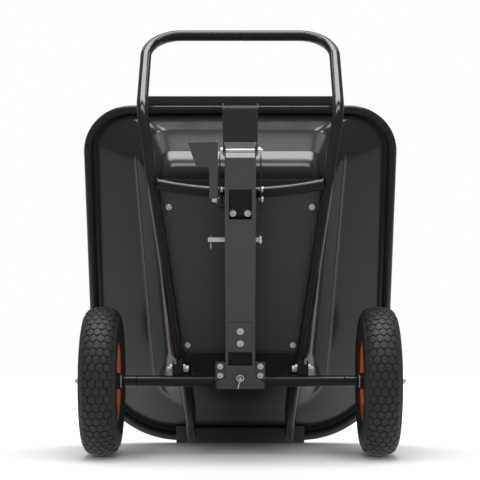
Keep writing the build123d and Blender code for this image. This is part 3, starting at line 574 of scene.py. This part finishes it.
# ---------------------------------------------------------------- zinc plated bolts
# Round-headed bolts with a hexagon socket, pushed up through the plates from below, and
# hexagon bolts and nuts. Bright zinc plate with its fine crystals and handling marks.
def plating_group():
    """Bright zinc plate: faint crystals, cloudy tarnish and fine handling marks."""
    group, put, get = new_group(
        "zinc_plating",
        [("Colour", "Color", (0.7, 0.7, 0.72, 1)), ("Tarnish", "Color", (0.4, 0.4, 0.4, 1)),
         ("Roughness", "Float", 0.25), ("Mark Depth", "Float", 0.2), ("Edge Radius", "Float", 0.0004)],
        [("Colour", "Color"), ("Roughness", "Float"), ("Normal", "Vector")])
    place = add_node(group, "ShaderNodeTexCoord").outputs["Object"]
    crystals = add_node(group, "ShaderNodeTexVoronoi", {"Vector": place, "Scale": 1400.0}).outputs["Color"]
    grain = add_node(group, "ShaderNodeSeparateColor", {0: crystals}).outputs[0]
    clouds = noise(group, place, 160.0, 4.0, 0.6)
    colour = blended(group, maths(group, "MULTIPLY", clouds, 0.6), put["Colour"], put["Tarnish"])
    group.links.new(colour, get["Colour"])
    rough = maths(group, "ADD", put["Roughness"], maths(group, "MULTIPLY", grain, 0.10))
    clouded = maths(group, "ADD", rough, maths(group, "MULTIPLY", clouds, 0.12), True)
    group.links.new(clouded, get["Roughness"])
    stretched = add_node(group, "ShaderNodeMapping", {"Vector": place, "Scale": (3000.0, 250.0, 900.0)})
    marks = noise(group, stretched.outputs[0], 1.0, 3.0, 0.6)
    rounded = add_node(group, "ShaderNodeBevel", {"Radius": put["Edge Radius"]}, samples=4)
    bump = add_node(
        group, "ShaderNodeBump",
        {"Strength": put["Mark Depth"], "Distance": 0.0001, "Height": marks, "Normal": rounded.outputs[0]})
    group.links.new(bump.outputs[0], get["Normal"])
    return group


ZINC_PLATING = plating_group()


def plated(name, colour, tarnish, roughness, marks=0.2, metal=0.5):
    """A bare or plated metal made with the zinc plating."""
    finish = bpy.data.materials.new(name)
    finish.use_nodes = True
    tree = finish.node_tree
    shader = tree.nodes["Principled BSDF"]
    film = add_node(tree, "ShaderNodeGroup", node_tree=ZINC_PLATING)
    film.inputs["Colour"].default_value = (*colour, 1)
    film.inputs["Tarnish"].default_value = (*tarnish, 1)
    film.inputs["Roughness"].default_value = roughness
    film.inputs["Mark Depth"].default_value = marks
    for socket, target in (("Colour", "Base Color"), ("Roughness", "Roughness"), ("Normal", "Normal")):
        tree.links.new(film.outputs[socket], shader.inputs[target])
    shader.inputs["Metallic"].default_value = metal
    return finish


HEAD_HEIGHT = 0.0050
SHANK_RADIUS = 0.0041


def socket_bolt(x, y, seat, radius, shank_length):
    """A domed head below its seat with a hexagon socket, and a short plain shank above it."""
    socket = radius * 0.46
    profile = [
        (0.0, 0.0040), (socket, 0.0040), (socket, 0.0004), (radius * 0.56, 0.0), (radius * 0.72, 0.0006),
        (radius * 0.90, 0.0020), (radius * 0.985, 0.0036), (radius, HEAD_HEIGHT), (SHANK_RADIUS, HEAD_HEIGHT),
        (SHANK_RADIUS, HEAD_HEIGHT + shank_length), (0.0, HEAD_HEIGHT + shank_length),
    ]
    sides = 36
    rings = []
    for k, (reach, height) in enumerate(profile[1:-1]):
        ring = []
        for n in range(sides):
            turn = math.tau * n / sides
            hexagon = math.cos(math.pi / 6) / math.cos(turn % (math.pi / 3) - math.pi / 6)
            size = reach * (hexagon if k < 2 else 1.0)
            place = (x + size * math.cos(turn), y + size * math.sin(turn), seat - HEAD_HEIGHT + height)
            ring.append(Vector(place))
        rings.append(ring)
    return shell_mesh("socket_bolt", rings)


zinc_plate = plated("zinc_plate", (0.80, 0.80, 0.82), (0.52, 0.53, 0.55), 0.20)
FLOOR_HOLES = [(0.188, -0.472), (0.143, -0.074)]


def add_bolts(name, places, seat, radius, shank_length, body, stands_for):
    """A set of socket bolts under one seat, as one piece."""
    heads = [socket_bolt(x, y, seat, radius, shank_length) for x, y in places]
    add_piece(name, joined(heads), zinc_plate, body, [stands_for], smooth=30)


def refinish(finish, *nodes):
    """Give drawn nodes that stay as they are a better finish."""
    for node in nodes:
        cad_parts[node].material_slots[0].material = finish


floor_places = [(side * x, y) for x, y in FLOOR_HOLES for side in (-1, 1)]
add_bolts("tub_socket_bolts", floor_places, FLOOR - 0.002, 0.0085, 0.010, "tub_frame", "tub_bolts")
refinish(zinc_plate, "tub_nuts", "latch_plate_bolts", "pivot_bolts", "pivot_nuts")


# ---------------------------------------------------------------- handle sleeve
# A short sleeve inside the butted ends of the two frame tubes, at the middle of the handle,
# in the same gloss black enamel.
refinish(tube_enamel, "handle_sleeve")


# ---------------------------------------------------------------- tipping pivots
# Each rail ends in a tongue and a boss that turn on a bolt between the cheeks of a
# clevis. The tongues are welded to the rails and enamelled with them.
refinish(tube_enamel, "pivot_lugs")


# ---------------------------------------------------------------- axle
# A 30 mm tube with a turned stub in each end that carries the wheel's spindle; ears are
# welded on for the spine. The washers and end nuts are bright zinc.
def turned(profile, sides=64):
    """A solid turned about X from points given as distance along X and radius."""
    rings = []
    for along, reach in profile:
        turns = [math.tau * n / sides for n in range(sides)]
        rings.append([Vector((along, reach * math.cos(t), reach * math.sin(t))) for t in turns])
    return shell_mesh("turned", rings)


axle_enamel = painted(
    "axle_enamel", (0.014, 0.014, 0.0145), (0.08, 0.08, 0.08), 0.16, peel=(400.0, 0.08), amount=0.3)
axle_profile = [(-0.2785, 0.0140), (-0.2778, 0.015)]
axle_profile += [(x * 0.04, 0.015) for x in range(-6, 7)]
axle_profile += [(0.2778, 0.015), (0.2785, 0.0140)]
add_piece("axle_bar", turned(axle_profile), axle_enamel, "chassis", ["axle_tube"], smooth=30)
stub_profile = [
    (0.2786, 0.0125), (0.2795, 0.0140), (0.2805, 0.0150), (0.318, 0.0150), (0.319, 0.0142), (0.319, 0.008),
    (0.4275, 0.008), (0.428, 0.0075), (0.428, 0.005), (0.4435, 0.005), (0.444, 0.0045),
]
for side, word in ((-1, "left"), (1, "right")):
    turned_stub = turned([(side * x, r) for x, r in stub_profile])
    add_piece(
        f"axle_stub_{word}_turned", turned_stub, axle_enamel,
        "chassis", [f"axle_stub_{word}"], smooth=30)
refinish(satin_black, "axle_ears")
refinish(zinc_plate, "axle_washers", "axle_end_nuts")
ear_welds = []
for side in (-1, 1):
    path = [p for p in circle_points((side * 0.067, 0, 0), (1, 0, 0), 0.0155, 48) if p.z < -0.008]
    ear_welds.append(swept_tube(sorted(path, key=lambda p: p.y), 0.0016, sides=8, end_round=0.0005))
add_piece("axle_welds", joined(ear_welds), satin_black, "chassis", [], smooth=80)


# ---------------------------------------------------------------- spine
# A channel folded from 3 mm sheet that runs from the axle to the rear, open towards the
# tub, with a flared foot over the axle and two openings in its web. Satin black.
SPINE = {"half": 0.040, "bottom": -0.022, "top": 0.018, "front": 0.013, "rear": -0.636, "ears": -0.666}
SPINE_SHEET = 0.003


def channel_section(half, bottom, top, sheet, bend=0.004, steps=5):
    """A C section, open at the top, with rounded bends, as points across and up."""
    left = [(-half, top), (-half, bottom + bend)]
    for k in range(1, steps):
        turn = math.pi + math.pi / 2 * k / steps
        left.append((-half + bend + bend * math.cos(turn), bottom + bend + bend * math.sin(turn)))
    left.append((-half + bend, bottom))
    inside = [(-half + bend, bottom + sheet), (-half + sheet, bottom + bend), (-half + sheet, top)]
    right = [(-x, z) for x, z in reversed(left)]
    return left + right + [(-x, z) for x, z in reversed(inside)] + inside


section = channel_section(SPINE["half"], SPINE["bottom"], SPINE["top"], SPINE_SHEET)
channel = outline_prism(section, SPINE["ears"], SPINE["front"], "Y")
flare = outline_prism(
    [(-0.040, -0.020), (0.040, -0.020), (0.064, -0.008), (0.064, 0.013), (-0.064, 0.013), (-0.064, -0.008)],
    SPINE["bottom"], SPINE["bottom"] + SPINE_SHEET, "Z")
tabs = [block(x, x + 0.027, -0.064, -0.012, -0.018, -0.015) for x in (-0.066, 0.039)]
over_rear = block(-0.05, 0.05, -0.70, SPINE["rear"], -0.03, -0.013)
under_rear = block(-0.05, 0.05, -0.70, SPINE["rear"], 0.013, 0.03)
catch_window = block(-0.0295, 0.0295, -0.552, -0.470, -0.03, -0.018)
front_window = block(-0.032, 0.032, -0.096, -0.056, -0.03, -0.018)
axle_bore = turned([(-0.1, 0.01505), (0.1, 0.01505)])
spine_mesh = carve(channel, add=[flare] + tabs,
                   cut=[over_rear, under_rear, catch_window, front_window, axle_bore])
# Its strong pale edge colour is a painted highlight along the folds and cut edges, partly also wear.
spine_coat = painted(
    "spine_coat", (0.050, 0.050, 0.051), (0.26, 0.26, 0.26), 0.45, peel=(800.0, 0.2), amount=1.0)
add_piece(
    "spine_channel", spine_mesh, spine_coat, "chassis", ["spine"], edge=0.0007, smooth=30)

# Plates inside and on the web: the sloping tongue behind the rear opening, the closing
# plate above the front one, and a bolted plate under the web with rounded corners.
plates = [
    outline_prism(
        [(-0.556, -0.0189), (-0.552, -0.016), (-0.498, -0.007), (-0.462, -0.007), (-0.462, -0.019),
         (-0.465, -0.019), (-0.465, -0.010), (-0.498, -0.010), (-0.550, -0.0189)], -0.029, 0.029, "X"),
    outline_prism(
        [(-0.108, -0.019), (-0.105, -0.019), (-0.105, -0.017), (-0.047, -0.017), (-0.047, -0.019),
         (-0.044, -0.019), (-0.044, -0.014), (-0.108, -0.014)], -0.037, 0.037, "X"),
]
add_piece(
    "spine_inner_plates", joined(plates), tube_enamel,
    "chassis", ["spine_plates"], edge=0.0005)
tag_corners = [Vector(p) for p in ((0.032, -0.106), (-0.032, -0.106), (-0.032, -0.182), (0.032, -0.182))]
tag_outline = []
for k, corner in enumerate(tag_corners):
    size = 0.002 if k < 2 else 0.007
    tag_outline += corner_arc(tag_corners[k - 1], corner, tag_corners[(k + 1) % 4], size, 6)
add_piece(
    "front_tag_plate", outline_prism([tuple(p) for p in tag_outline], -0.0245, -0.022, "Z"), spine_coat,
    "chassis", ["front_plate"], edge=0.0005)
refinish(satin_black, "spine_catch")
ramp_places = [(-0.0195, -0.483), (0.0195, -0.483)]
add_bolts("ramp_socket_bolts", ramp_places, -0.010, 0.0095, 0.012, "chassis", "ramp_bolts")
tag_places = [(0.0, -0.157), (0.0, -0.122)]
add_bolts("tag_socket_bolts", tag_places, -0.0245, 0.0095, 0.012, "chassis", "front_plate_bolts")
saddle_places = [(side * 0.0535, y) for y in (-0.052, -0.025) for side in (-1, 1)]
add_bolts("saddle_socket_bolts", saddle_places, -0.018, 0.0085, 0.012, "chassis", "saddle_bolts")


# ---------------------------------------------------------------- clevises and their fixings
# A bracket folded from 3 mm sheet stands on the axle at each side, and its cheeks hold
# the tipping bolt and a small tie bolt. Gloss black enamel, with zinc bolts and nuts.
refinish(tube_enamel, "pivot_bracket_left", "pivot_bracket_right")
refinish(zinc_plate, "bracket_bolts", "saddle_nuts", "stand_bolt", "stand_nut")


# ---------------------------------------------------------------- lock pin and ring clip
# An upright pin in the spine's web behind the axle, kept by a small ring of spring wire
# with a loose tail.
refinish(zinc_plate, "lock_pin")
LOCK_Y = -0.022
ring = swept_tube(circle_points((0, LOCK_Y, -0.029), (0, 0, 1), 0.009, 40), 0.0015, sides=14, closed=True)
tail_bends = [
    (-0.001, LOCK_Y + 0.0085, -0.029), (-0.004, LOCK_Y + 0.018, -0.028), (-0.006, LOCK_Y + 0.031, -0.027),
]
tail = rounded_path(tail_bends, [0.010])
add_piece(
    "lock_ring", joined([ring, swept_tube(tail, 0.0015, sides=14, end_round=0.0004)]), zinc_plate,
    "chassis", ["lock_clip"], smooth=40)


# ---------------------------------------------------------------- folding stand
# A channel folded from 3 mm sheet whose two flanges straddle the ears of the spine and
# turn on one long bolt. It folds down to stand the cart level.
STAND_PIVOT = (-0.648, 0.0)
STAND_SWING = math.radians(35.5)
flange_outline = [
    (-0.1802, -0.007), (-0.030, -0.010), (0.0, -0.014), (0.011, -0.009), (0.014, 0.0),
    (0.009, 0.011), (0.0, 0.0145), (-0.040, 0.018), (-0.1682, 0.018), (-0.1802, 0.008),
]
leg_block = outline_prism(flange_outline, -0.0435, 0.0435, "X")
leg_hollow = block(-0.0405, 0.0405, -0.25, 0.05, -0.004, 0.05)
leg_front = block(-0.0405, 0.0405, -0.048, 0.05, -0.05, 0.05)
leg_bore = turned([(-0.1, 0.00505), (0.1, 0.00505)], 32)
stand_place = LEVEL @ Matrix.Translation((0, *STAND_PIVOT)) @ Matrix.Rotation(STAND_SWING, 4, "X")
# Its strong pale edge colour is a painted highlight along the edges, partly also wear.
stand_coat = painted(
    "stand_coat", (0.024, 0.024, 0.0245), (0.35, 0.35, 0.35), 0.42, peel=(800.0, 0.2), amount=1.0)
add_piece(
    "stand_channel", carve(leg_block, cut=[leg_hollow, leg_front, leg_bore]), stand_coat,
    "stand_leg", ["stand_leg"], where=stand_place, edge=0.0008, smooth=30)


# ---------------------------------------------------------------- foot latch
# A lever folded from 3 mm plate: a face with a flag for the foot and a flange with the
# pivot hole. A shaft, a cam against the spine's catch and a domed nut hold it.
LEVER = (-0.516, 0.004)
flag_outline = [
    (-0.079, -0.524), (-0.057, -0.524), (-0.057, -0.676), (-0.133, -0.674),
    (-0.113, -0.612), (-0.085, -0.610), (-0.079, -0.604),
]
face_plate = outline_prism(flag_outline, -0.013, -0.010, "Z")
flange_plate = outline_prism(
    [(-0.676, -0.013), (-0.508, -0.013), (-0.504, 0.004), (-0.516, 0.015), (-0.560, 0.010), (-0.676, 0.002)],
    -0.060, -0.057, "X")
boss_points = circle_points((0, *LEVER), (1, 0, 0), 0.013, 40)
boss = outline_prism([(p.y, p.z) for p in boss_points], -0.060, -0.057, "X")
lever_bore = outline_prism(
    [(p.y, p.z) for p in circle_points((0, *LEVER), (1, 0, 0), 0.005, 24)], -0.08, -0.04, "X")
add_piece(
    "latch_foot_lever", carve(flange_plate, add=[boss, face_plate], cut=[lever_bore]), spine_coat,
    "latch_lever", ["latch_lever"], edge=0.0007, smooth=30)
refinish(satin_black, "latch_cam")
refinish(zinc_plate, "lever_shaft", "lever_nut")


# ---------------------------------------------------------------- draw pin
# A plain 12 mm pin through both flanges of the spine, with a domed head on the right and
# a spring clip of bent wire through its left end.
PIN_Y = -0.407
CLIP_X = -0.076
pin_profile = [(-0.084, 0.0045), (-0.0825, 0.006), (0.0495, 0.006), (0.0495, 0.0105), (0.0520, 0.0105)]
pin_profile += [(0.0520 + 0.004 * math.sin(t), 0.0065 + 0.004 * math.cos(t)) for t in (0.4, 0.8, 1.2, 1.57)]
pin_place = LEVEL @ Matrix.Translation((0, PIN_Y, 0))
add_piece(
    "draw_pin_turned", turned(pin_profile, 40), zinc_plate,
    "draw_pin", ["draw_pin"], where=pin_place, smooth=30)
clip_corners = [
    (CLIP_X, PIN_Y, -0.016), (CLIP_X, PIN_Y, 0.030), (CLIP_X, PIN_Y + 0.022, 0.034),
    (CLIP_X, PIN_Y + 0.020, 0.014), (CLIP_X, PIN_Y + 0.011, 0.002), (CLIP_X, PIN_Y + 0.017, -0.018),
]
clip_path = rounded_path(clip_corners, [0.0045] * 4)
add_piece(
    "pin_spring_clip", swept_tube(clip_path, 0.0016, sides=16, end_round=0.0005), zinc_plate,
    "draw_pin", ["pin_clip"], smooth=40)


# ---------------------------------------------------------------- tyres
# Pneumatic tyres, 400 mm across and 100 mm wide. Staggered rows of six-sided tread
# blocks cover the crown and shoulders, and the sidewalls are smooth with fine ribs.
TREAD_DEPTH = 0.0030
TREAD_WIDTH = 0.020
TREAD_ROWS = 60
SIDE_POINTS = [
    (0.0, 0.2), (0.009, 0.1994), (0.024, 0.1965), (0.038, 0.190), (0.0475, 0.176),
    (0.051, 0.156), (0.0502, 0.140), (0.041, 0.118), (0.0369, 0.103),
]


def smooth_points(points, steps):
    """Points of a smooth line through a few given ones."""
    points = [Vector(p) for p in points]
    ends = [2 * points[0] - points[1]] + points + [2 * points[-1] - points[-2]]
    ends[0] = Vector((-points[1].x, points[1].y))
    out = []
    for k in range(1, len(ends) - 2):
        a, b, c, d = ends[k - 1:k + 3]
        for n in range(steps):
            t = n / steps
            out.append(0.5 * (2 * b + (c - a) * t + (2 * a - 5 * b + 4 * c - d) * t * t
                              + (3 * b - a - 3 * c + d) * t ** 3))
    return out + [points[-1]]


SKIN = smooth_points(SIDE_POINTS, 12)
SKIN_LENGTH = [0.0]
for start, end in zip(SKIN, SKIN[1:]):
    SKIN_LENGTH.append(SKIN_LENGTH[-1] + (end - start).length)


def skin_at(across):
    """Place and outward direction on the tyre's outside, from the distance across the tread."""
    reach = abs(across)
    k = max(n for n in range(len(SKIN) - 1) if SKIN_LENGTH[n] <= reach)
    share = (reach - SKIN_LENGTH[k]) / (SKIN_LENGTH[k + 1] - SKIN_LENGTH[k])
    point = SKIN[k].lerp(SKIN[k + 1], share)
    along = (SKIN[k + 1] - SKIN[k]).normalized()
    mirror = 1 if across >= 0 else -1
    return Vector((mirror * point.x, point.y)), Vector((mirror * -along.y, along.x))


def groove_depth(across):
    """Depth of the grooves, which run out on the sidewall."""
    start, stop = 0.050, 0.058
    share = min(1.0, max(0.0, (stop - abs(across)) / (stop - start)))
    return TREAD_DEPTH * share * share * (3 - 2 * share)


def tyre_carcass(sides=180):
    """The tyre below its tread blocks, with fine ribs on the sidewalls and an open inside."""
    widest = SKIN_LENGTH[-1]
    outside = []
    for k in range(-90, 91):
        across = widest * k / 90
        point, out = skin_at(across)
        ribs = 0.0004 * math.cos(abs(across) / 0.0030 * math.pi) if 0.094 < abs(across) < 0.112 else 0.0
        outside.append(point - out * (groove_depth(across) + 0.0004 + ribs))
    lining = [(0.026, 0.101), (0.028, 0.112), (0.034, 0.122), (0.042, 0.140), (0.043, 0.152), (0.036, 0.173),
              (0.024, 0.183), (0.009, 0.187)]
    inside = lining + [(-x, r) for x, r in reversed(lining)]
    section = [tuple(p) for p in outside] + inside
    rings = []
    for n in range(sides):
        turn = math.tau * n / sides
        rings.append([Vector((x, r * math.cos(turn), r * math.sin(turn))) for x, r in section])
    return shell_mesh("tyre_carcass", rings + [rings[0]], closed_ends=False)


def tread_block(work, across, turn, rng):
    """One six-sided block, its sides sloped and its top edge rounded."""
    pitch = math.tau / TREAD_ROWS
    crown = 0.2
    half_wide = TREAD_WIDTH / 2
    tall, short = pitch * crown * 2 / 3, pitch * crown / 3
    corners = [
        (0, tall), (half_wide, short), (half_wide, -short),
        (0, -tall), (-half_wide, -short), (-half_wide, short),
    ]
    edge = []
    for k in range(6):
        a, b = Vector(corners[k]), Vector(corners[(k + 1) % 6])
        edge += [a.lerp(b, n / 3) for n in range(3)]
    wear = rng.uniform(0.0, 0.00025)
    levels = [
        (0.895, -TREAD_DEPTH - 0.0008), (0.865, -0.0010), (0.845, -0.0004 - wear), (0.80, -0.00005 - wear),
    ]
    rings = []
    for scale, height in levels:
        ring = []
        for p in edge:
            point, out = skin_at(max(-0.060, min(0.060, across + p.x * scale)))
            place = point + out * height
            angle = turn + p.y * scale / crown
            ring.append(work.verts.new((place.x, place.y * math.cos(angle), place.y * math.sin(angle))))
        rings.append(ring)
    for low, high in zip(rings, rings[1:]):
        for k in range(len(edge)):
            n = (k + 1) % len(edge)
            work.faces.new((low[k], low[n], high[n], high[k]))
    point, out = skin_at(across)
    place = point - out * (0.00005 + wear)
    centre = work.verts.new((place.x, place.y * math.cos(turn), place.y * math.sin(turn)))
    base_point = point - out * (TREAD_DEPTH + 0.0008)
    under = work.verts.new((base_point.x, base_point.y * math.cos(turn), base_point.y * math.sin(turn)))
    for k in range(len(edge)):
        n = (k + 1) % len(edge)
        work.faces.new((rings[-1][k], rings[-1][n], centre))
        work.faces.new((rings[0][n], rings[0][k], under))


def tyre_mesh(seed):
    rng = random.Random(seed)
    work = bmesh.new()
    work.from_mesh(tyre_carcass())
    bmesh.ops.remove_doubles(work, verts=work.verts, dist=1e-6)
    for row in range(TREAD_ROWS):
        shift = TREAD_WIDTH / 2 if row % 2 else 0.0
        columns = (-2, -1, 0, 1) if row % 2 else (-2, -1, 0, 1, 2)
        for column in columns:
            tread_block(work, column * TREAD_WIDTH + shift, math.tau * row / TREAD_ROWS, rng)
    bmesh.ops.recalc_face_normals(work, faces=work.faces)
    mesh = bpy.data.meshes.new("tyre_rubber")
    work.to_mesh(mesh)
    work.free()
    return mesh


def rubber_group():
    """Black rubber: fine pores and a greyer bloom in patches."""
    group, put, get = new_group(
        "rubber_skin",
        [("Colour", "Color", (0.03, 0.03, 0.03, 1)), ("Bloom", "Color", (0.07, 0.07, 0.07, 1)),
         ("Bloom Amount", "Float", 0.4), ("Roughness", "Float", 0.6), ("Pore Depth", "Float", 0.3)],
        [("Colour", "Color"), ("Roughness", "Float"), ("Normal", "Vector")])
    place = add_node(group, "ShaderNodeTexCoord").outputs["Object"]
    patches = noise(group, place, 60.0, 5.0, 0.65)
    bloom = maths(group, "MULTIPLY", maths(group, "MULTIPLY", patches, patches), put["Bloom Amount"], True)
    group.links.new(blended(group, bloom, put["Colour"], put["Bloom"]), get["Colour"])
    drift = maths(group, "MULTIPLY", maths(group, "SUBTRACT", patches, 0.5), 0.3)
    group.links.new(maths(group, "ADD", put["Roughness"], drift, True), get["Roughness"])
    pores = noise(group, place, 900.0, 3.0, 0.6)
    bump = add_node(
        group, "ShaderNodeBump", {"Strength": put["Pore Depth"], "Distance": 0.0003, "Height": pores})
    group.links.new(bump.outputs[0], get["Normal"])
    return group


RUBBER_SKIN = rubber_group()


def rubber(name, colour, bloom, roughness, amount=0.5):
    """A rubber finish made with the rubber skin."""
    finish = bpy.data.materials.new(name)
    finish.use_nodes = True
    tree = finish.node_tree
    shader = tree.nodes["Principled BSDF"]
    skin = add_node(tree, "ShaderNodeGroup", node_tree=RUBBER_SKIN)
    skin.inputs["Colour"].default_value = (*colour, 1)
    skin.inputs["Bloom"].default_value = (*bloom, 1)
    skin.inputs["Bloom Amount"].default_value = amount
    skin.inputs["Roughness"].default_value = roughness
    for socket, target in (("Colour", "Base Color"), ("Roughness", "Roughness"), ("Normal", "Normal")):
        tree.links.new(skin.outputs[socket], shader.inputs[target])
    return finish


tyre_rubber = rubber("tyre_rubber", (0.020, 0.020, 0.021), (0.050, 0.050, 0.050), 0.55)
WHEEL_X = 0.371
for side, word in ((-1, "left"), (1, "right")):
    wheel_place = LEVEL @ Matrix.Translation((side * WHEEL_X, 0, 0))
    add_piece(
        f"tyre_{word}_tread", tyre_mesh(7 + side), tyre_rubber,
        f"wheel_{word}", [f"tyre_{word}"], where=wheel_place, smooth=50)


# ---------------------------------------------------------------- rims, hubs and bearings
# Split rims pressed from sheet in bright orange, bolted through the flange of a black
# hub with a ball bearing at each end. A rubber valve leans out of the outer dish.
rim_enamel = painted(
    "rim_enamel", (0.62, 0.105, 0.012), (0.75, 0.40, 0.22), 0.26, peel=(500.0, 0.12), amount=0.4)
hub_enamel = painted("hub_enamel", (0.012, 0.012, 0.0125), (0.12, 0.12, 0.12), 0.25, peel=(500.0, 0.1))
valve_rubber = rubber("valve_rubber", (0.022, 0.022, 0.022), (0.05, 0.05, 0.05), 0.5)
bearing_steel = plated("bearing_steel", (0.55, 0.56, 0.58), (0.32, 0.32, 0.33), 0.28, 0.1, 0.9)
RIM_SHAPE = [
    (0.0390, 0.1120), (0.0392, 0.1112), (0.0392, 0.1045), (0.0385, 0.1018), (0.0360, 0.1008), (0.0190, 0.0998),
    (0.0172, 0.0985), (0.0160, 0.0945), (0.0125, 0.0800), (0.0085, 0.0680), (0.0058, 0.0600), (0.0047, 0.0540),
    (0.0045, 0.0221), (0.0065, 0.0221), (0.0065, 0.0535), (0.0078, 0.0590), (0.0105, 0.0665), (0.0145, 0.0785),
    (0.0180, 0.0925), (0.0195, 0.0965), (0.0215, 0.0976), (0.0375, 0.0988), (0.0400, 0.1000), (0.0409, 0.1030),
    (0.0410, 0.1112), (0.0407, 0.1120),
]
for side, word in ((-1, "left"), (1, "right")):
    wheel_place = LEVEL @ Matrix.Translation((side * WHEEL_X, 0, 0))
    for face, part in ((side, "outer"), (-side, "inner")):
        pressed = turned([(face * x, r) for x, r in RIM_SHAPE + RIM_SHAPE[:1]], 96)
        loose = bmesh.new()
        loose.from_mesh(pressed)
        bmesh.ops.delete(loose, geom=[f for f in loose.faces if len(f.verts) > 4], context="FACES_ONLY")
        bmesh.ops.remove_doubles(loose, verts=loose.verts, dist=1e-6)
        loose.to_mesh(pressed)
        loose.free()
        add_piece(
            f"rim_{part}_{word}_pressed", pressed, rim_enamel,
            f"wheel_{word}", [f"rim_{part}_{word}"], where=wheel_place, smooth=50)
    refinish(hub_enamel, f"hub_{word}")
    refinish(zinc_plate, f"rim_bolts_{word}")
    refinish(valve_rubber, f"valve_stem_{word}")
    refinish(bearing_steel, f"bearings_{word}")


# ---------------------------------------------------------------- studio
# A white floor and pale surroundings that glossy enamel sees as a mostly dark room, under soft panels
# overhead, behind and at the sides. The floor glows with painted bounce light, and in reflections it shows a
# painted glow with a painted shadow under and beside the cart and painted shade in front of it. The camera
# stands a few metres behind the tipped cart, a little above axle height and pitched slightly up.
def radiant_area(name, radiance, size_x, size_y, place, aim):
    """A soft rectangular light of a given radiance, aimed at a point."""
    light = bpy.data.lights.new(name, "AREA")
    light.shape = "RECTANGLE"
    light.size, light.size_y = size_x, size_y
    light.energy = radiance * math.pi * size_x * size_y
    lamp = bpy.data.objects.new(name, light)
    turn = (Vector(aim) - Vector(place)).to_track_quat("-Z", "Y").to_matrix().to_4x4()
    lamp.matrix_world = Matrix.Translation(place) @ turn
    bpy.context.scene.collection.objects.link(lamp)
    return lamp


def ramp(tree, value, given, wanted):
    """A value carried from one range to another and held at its ends."""
    values = {
        "Value": value, "From Min": given[0], "From Max": given[1], "To Min": wanted[0], "To Max": wanted[1],
    }
    return add_node(tree, "ShaderNodeMapRange", values).outputs[0]


radiant_area("overhead_softbox", 8.0, 2.6, 0.9, (0, 0.05, 3.2), (0, 0, 0.5))
radiant_area("rear_panel", 1.7, 3.2, 0.8, (0, 1.3, 3.0), (0, 0, 0.4))
radiant_area("front_strip", 6.0, 2.6, 0.5, (0, -1.2, 3.1), (0, 0, 0.3))
for side in (-1, 1):
    radiant_area("side_panel", 0.22, 1.7, 2.4, (side * 2.0, 2.4, 1.0), (0, 0, 0.5))

FLOOR_SIZE = 14.0
work = bmesh.new()
bmesh.ops.create_grid(work, x_segments=2, y_segments=2, size=FLOOR_SIZE / 2)
floor_mesh = bpy.data.meshes.new("studio_floor")
work.to_mesh(floor_mesh)
work.free()
studio_white = bpy.data.materials.new("studio_white")
studio_white.use_nodes = True
tree = studio_white.node_tree
shader = tree.nodes["Principled BSDF"]
shader.inputs["Base Color"].default_value = (0.86, 0.86, 0.86, 1)
shader.inputs["Roughness"].default_value = 0.7
shader.inputs["Specular IOR Level"].default_value = 0.2
place = add_node(tree, "ShaderNodeTexCoord").outputs["Object"]
away = add_node(tree, "ShaderNodeVectorMath", {0: place}, operation="LENGTH").outputs["Value"]
rays = add_node(tree, "ShaderNodeLightPath").outputs
glow = ramp(tree, away, (0.8, 1.8), (0.0, 1.0))
seen = maths(tree, "MULTIPLY", glow, rays["Is Camera Ray"])
# Diffuse rays see the floor glow: painted bounce light onto the cart.
painted_bounce_glow = maths(tree, "MULTIPLY", rays["Is Diffuse Ray"], 0.4)
tree.links.new(maths(tree, "ADD", seen, painted_bounce_glow), shader.inputs["Emission Strength"])
shader.inputs["Emission Color"].default_value = (1, 1, 1, 1)
# Glossy rays see a painted reflection instead of the lit floor: a glow that fades in front of the cart, with a
# painted shadow under and beside it.
depth = add_node(tree, "ShaderNodeSeparateXYZ", {0: place}).outputs["Y"]
behind = ramp(tree, depth, (-0.5, 0.3), (0.10, 1.0))
oval = add_node(tree, "ShaderNodeVectorMath", {0: place, 1: (1.7, 0.8, 1.0)}, operation="MULTIPLY")
aside = add_node(tree, "ShaderNodeVectorMath", {0: oval.outputs[0]}, operation="LENGTH").outputs["Value"]
outside_painted_shadow = ramp(tree, aside, (0.28, 0.75), (0.02, 1.0))
painted_reflection_glow = maths(tree, "MULTIPLY", behind, outside_painted_shadow)
painted_reflection = add_node(tree, "ShaderNodeEmission", {"Color": (1, 1, 1, 1), "Strength": painted_reflection_glow})
chosen = add_node(
    tree, "ShaderNodeMixShader", {0: rays["Is Glossy Ray"], 1: shader.outputs[0], 2: painted_reflection.outputs[0]})
tree.links.new(chosen.outputs[0], tree.nodes["Material Output"].inputs["Surface"])
floor_mesh.materials.append(studio_white)
floor = bpy.data.objects.new("studio_floor", floor_mesh)
bpy.context.scene.collection.objects.link(floor)
floor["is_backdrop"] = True

world = bpy.data.worlds.new("studio_surroundings")
bpy.context.scene.world = world
world.use_nodes = True
tree = world.node_tree
backdrop = tree.nodes["Background"]
rays = add_node(tree, "ShaderNodeLightPath").outputs
unseen = {"Factor": rays["Is Glossy Ray"], "A": 0.78, "B": 0.125}
unseen = add_node(tree, "ShaderNodeMix", unseen, data_type="FLOAT").outputs[0]
levels = {"Factor": rays["Is Camera Ray"], "A": unseen, "B": 1.0}
strength = add_node(tree, "ShaderNodeMix", levels, data_type="FLOAT")
tree.links.new(strength.outputs[0], backdrop.inputs["Strength"])
backdrop.inputs["Color"].default_value = (1, 1, 1, 1)

camera_data = bpy.data.cameras.new("camera")
camera_data.sensor_width = 36.0
camera_data.lens = 111.34
camera = bpy.data.objects.new("camera", camera_data)
camera.location = (-0.0008, -4.022, 0.3565)
camera.rotation_euler = (math.radians(90 + 3.19), 0, 0)
bpy.context.scene.collection.objects.link(camera)
bpy.context.scene.camera = camera
bpy.context.scene.view_settings.view_transform = "Standard"
bpy.context.scene.view_settings.look = "None"


# ---------------------------------------------------------------- sizes
low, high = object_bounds()
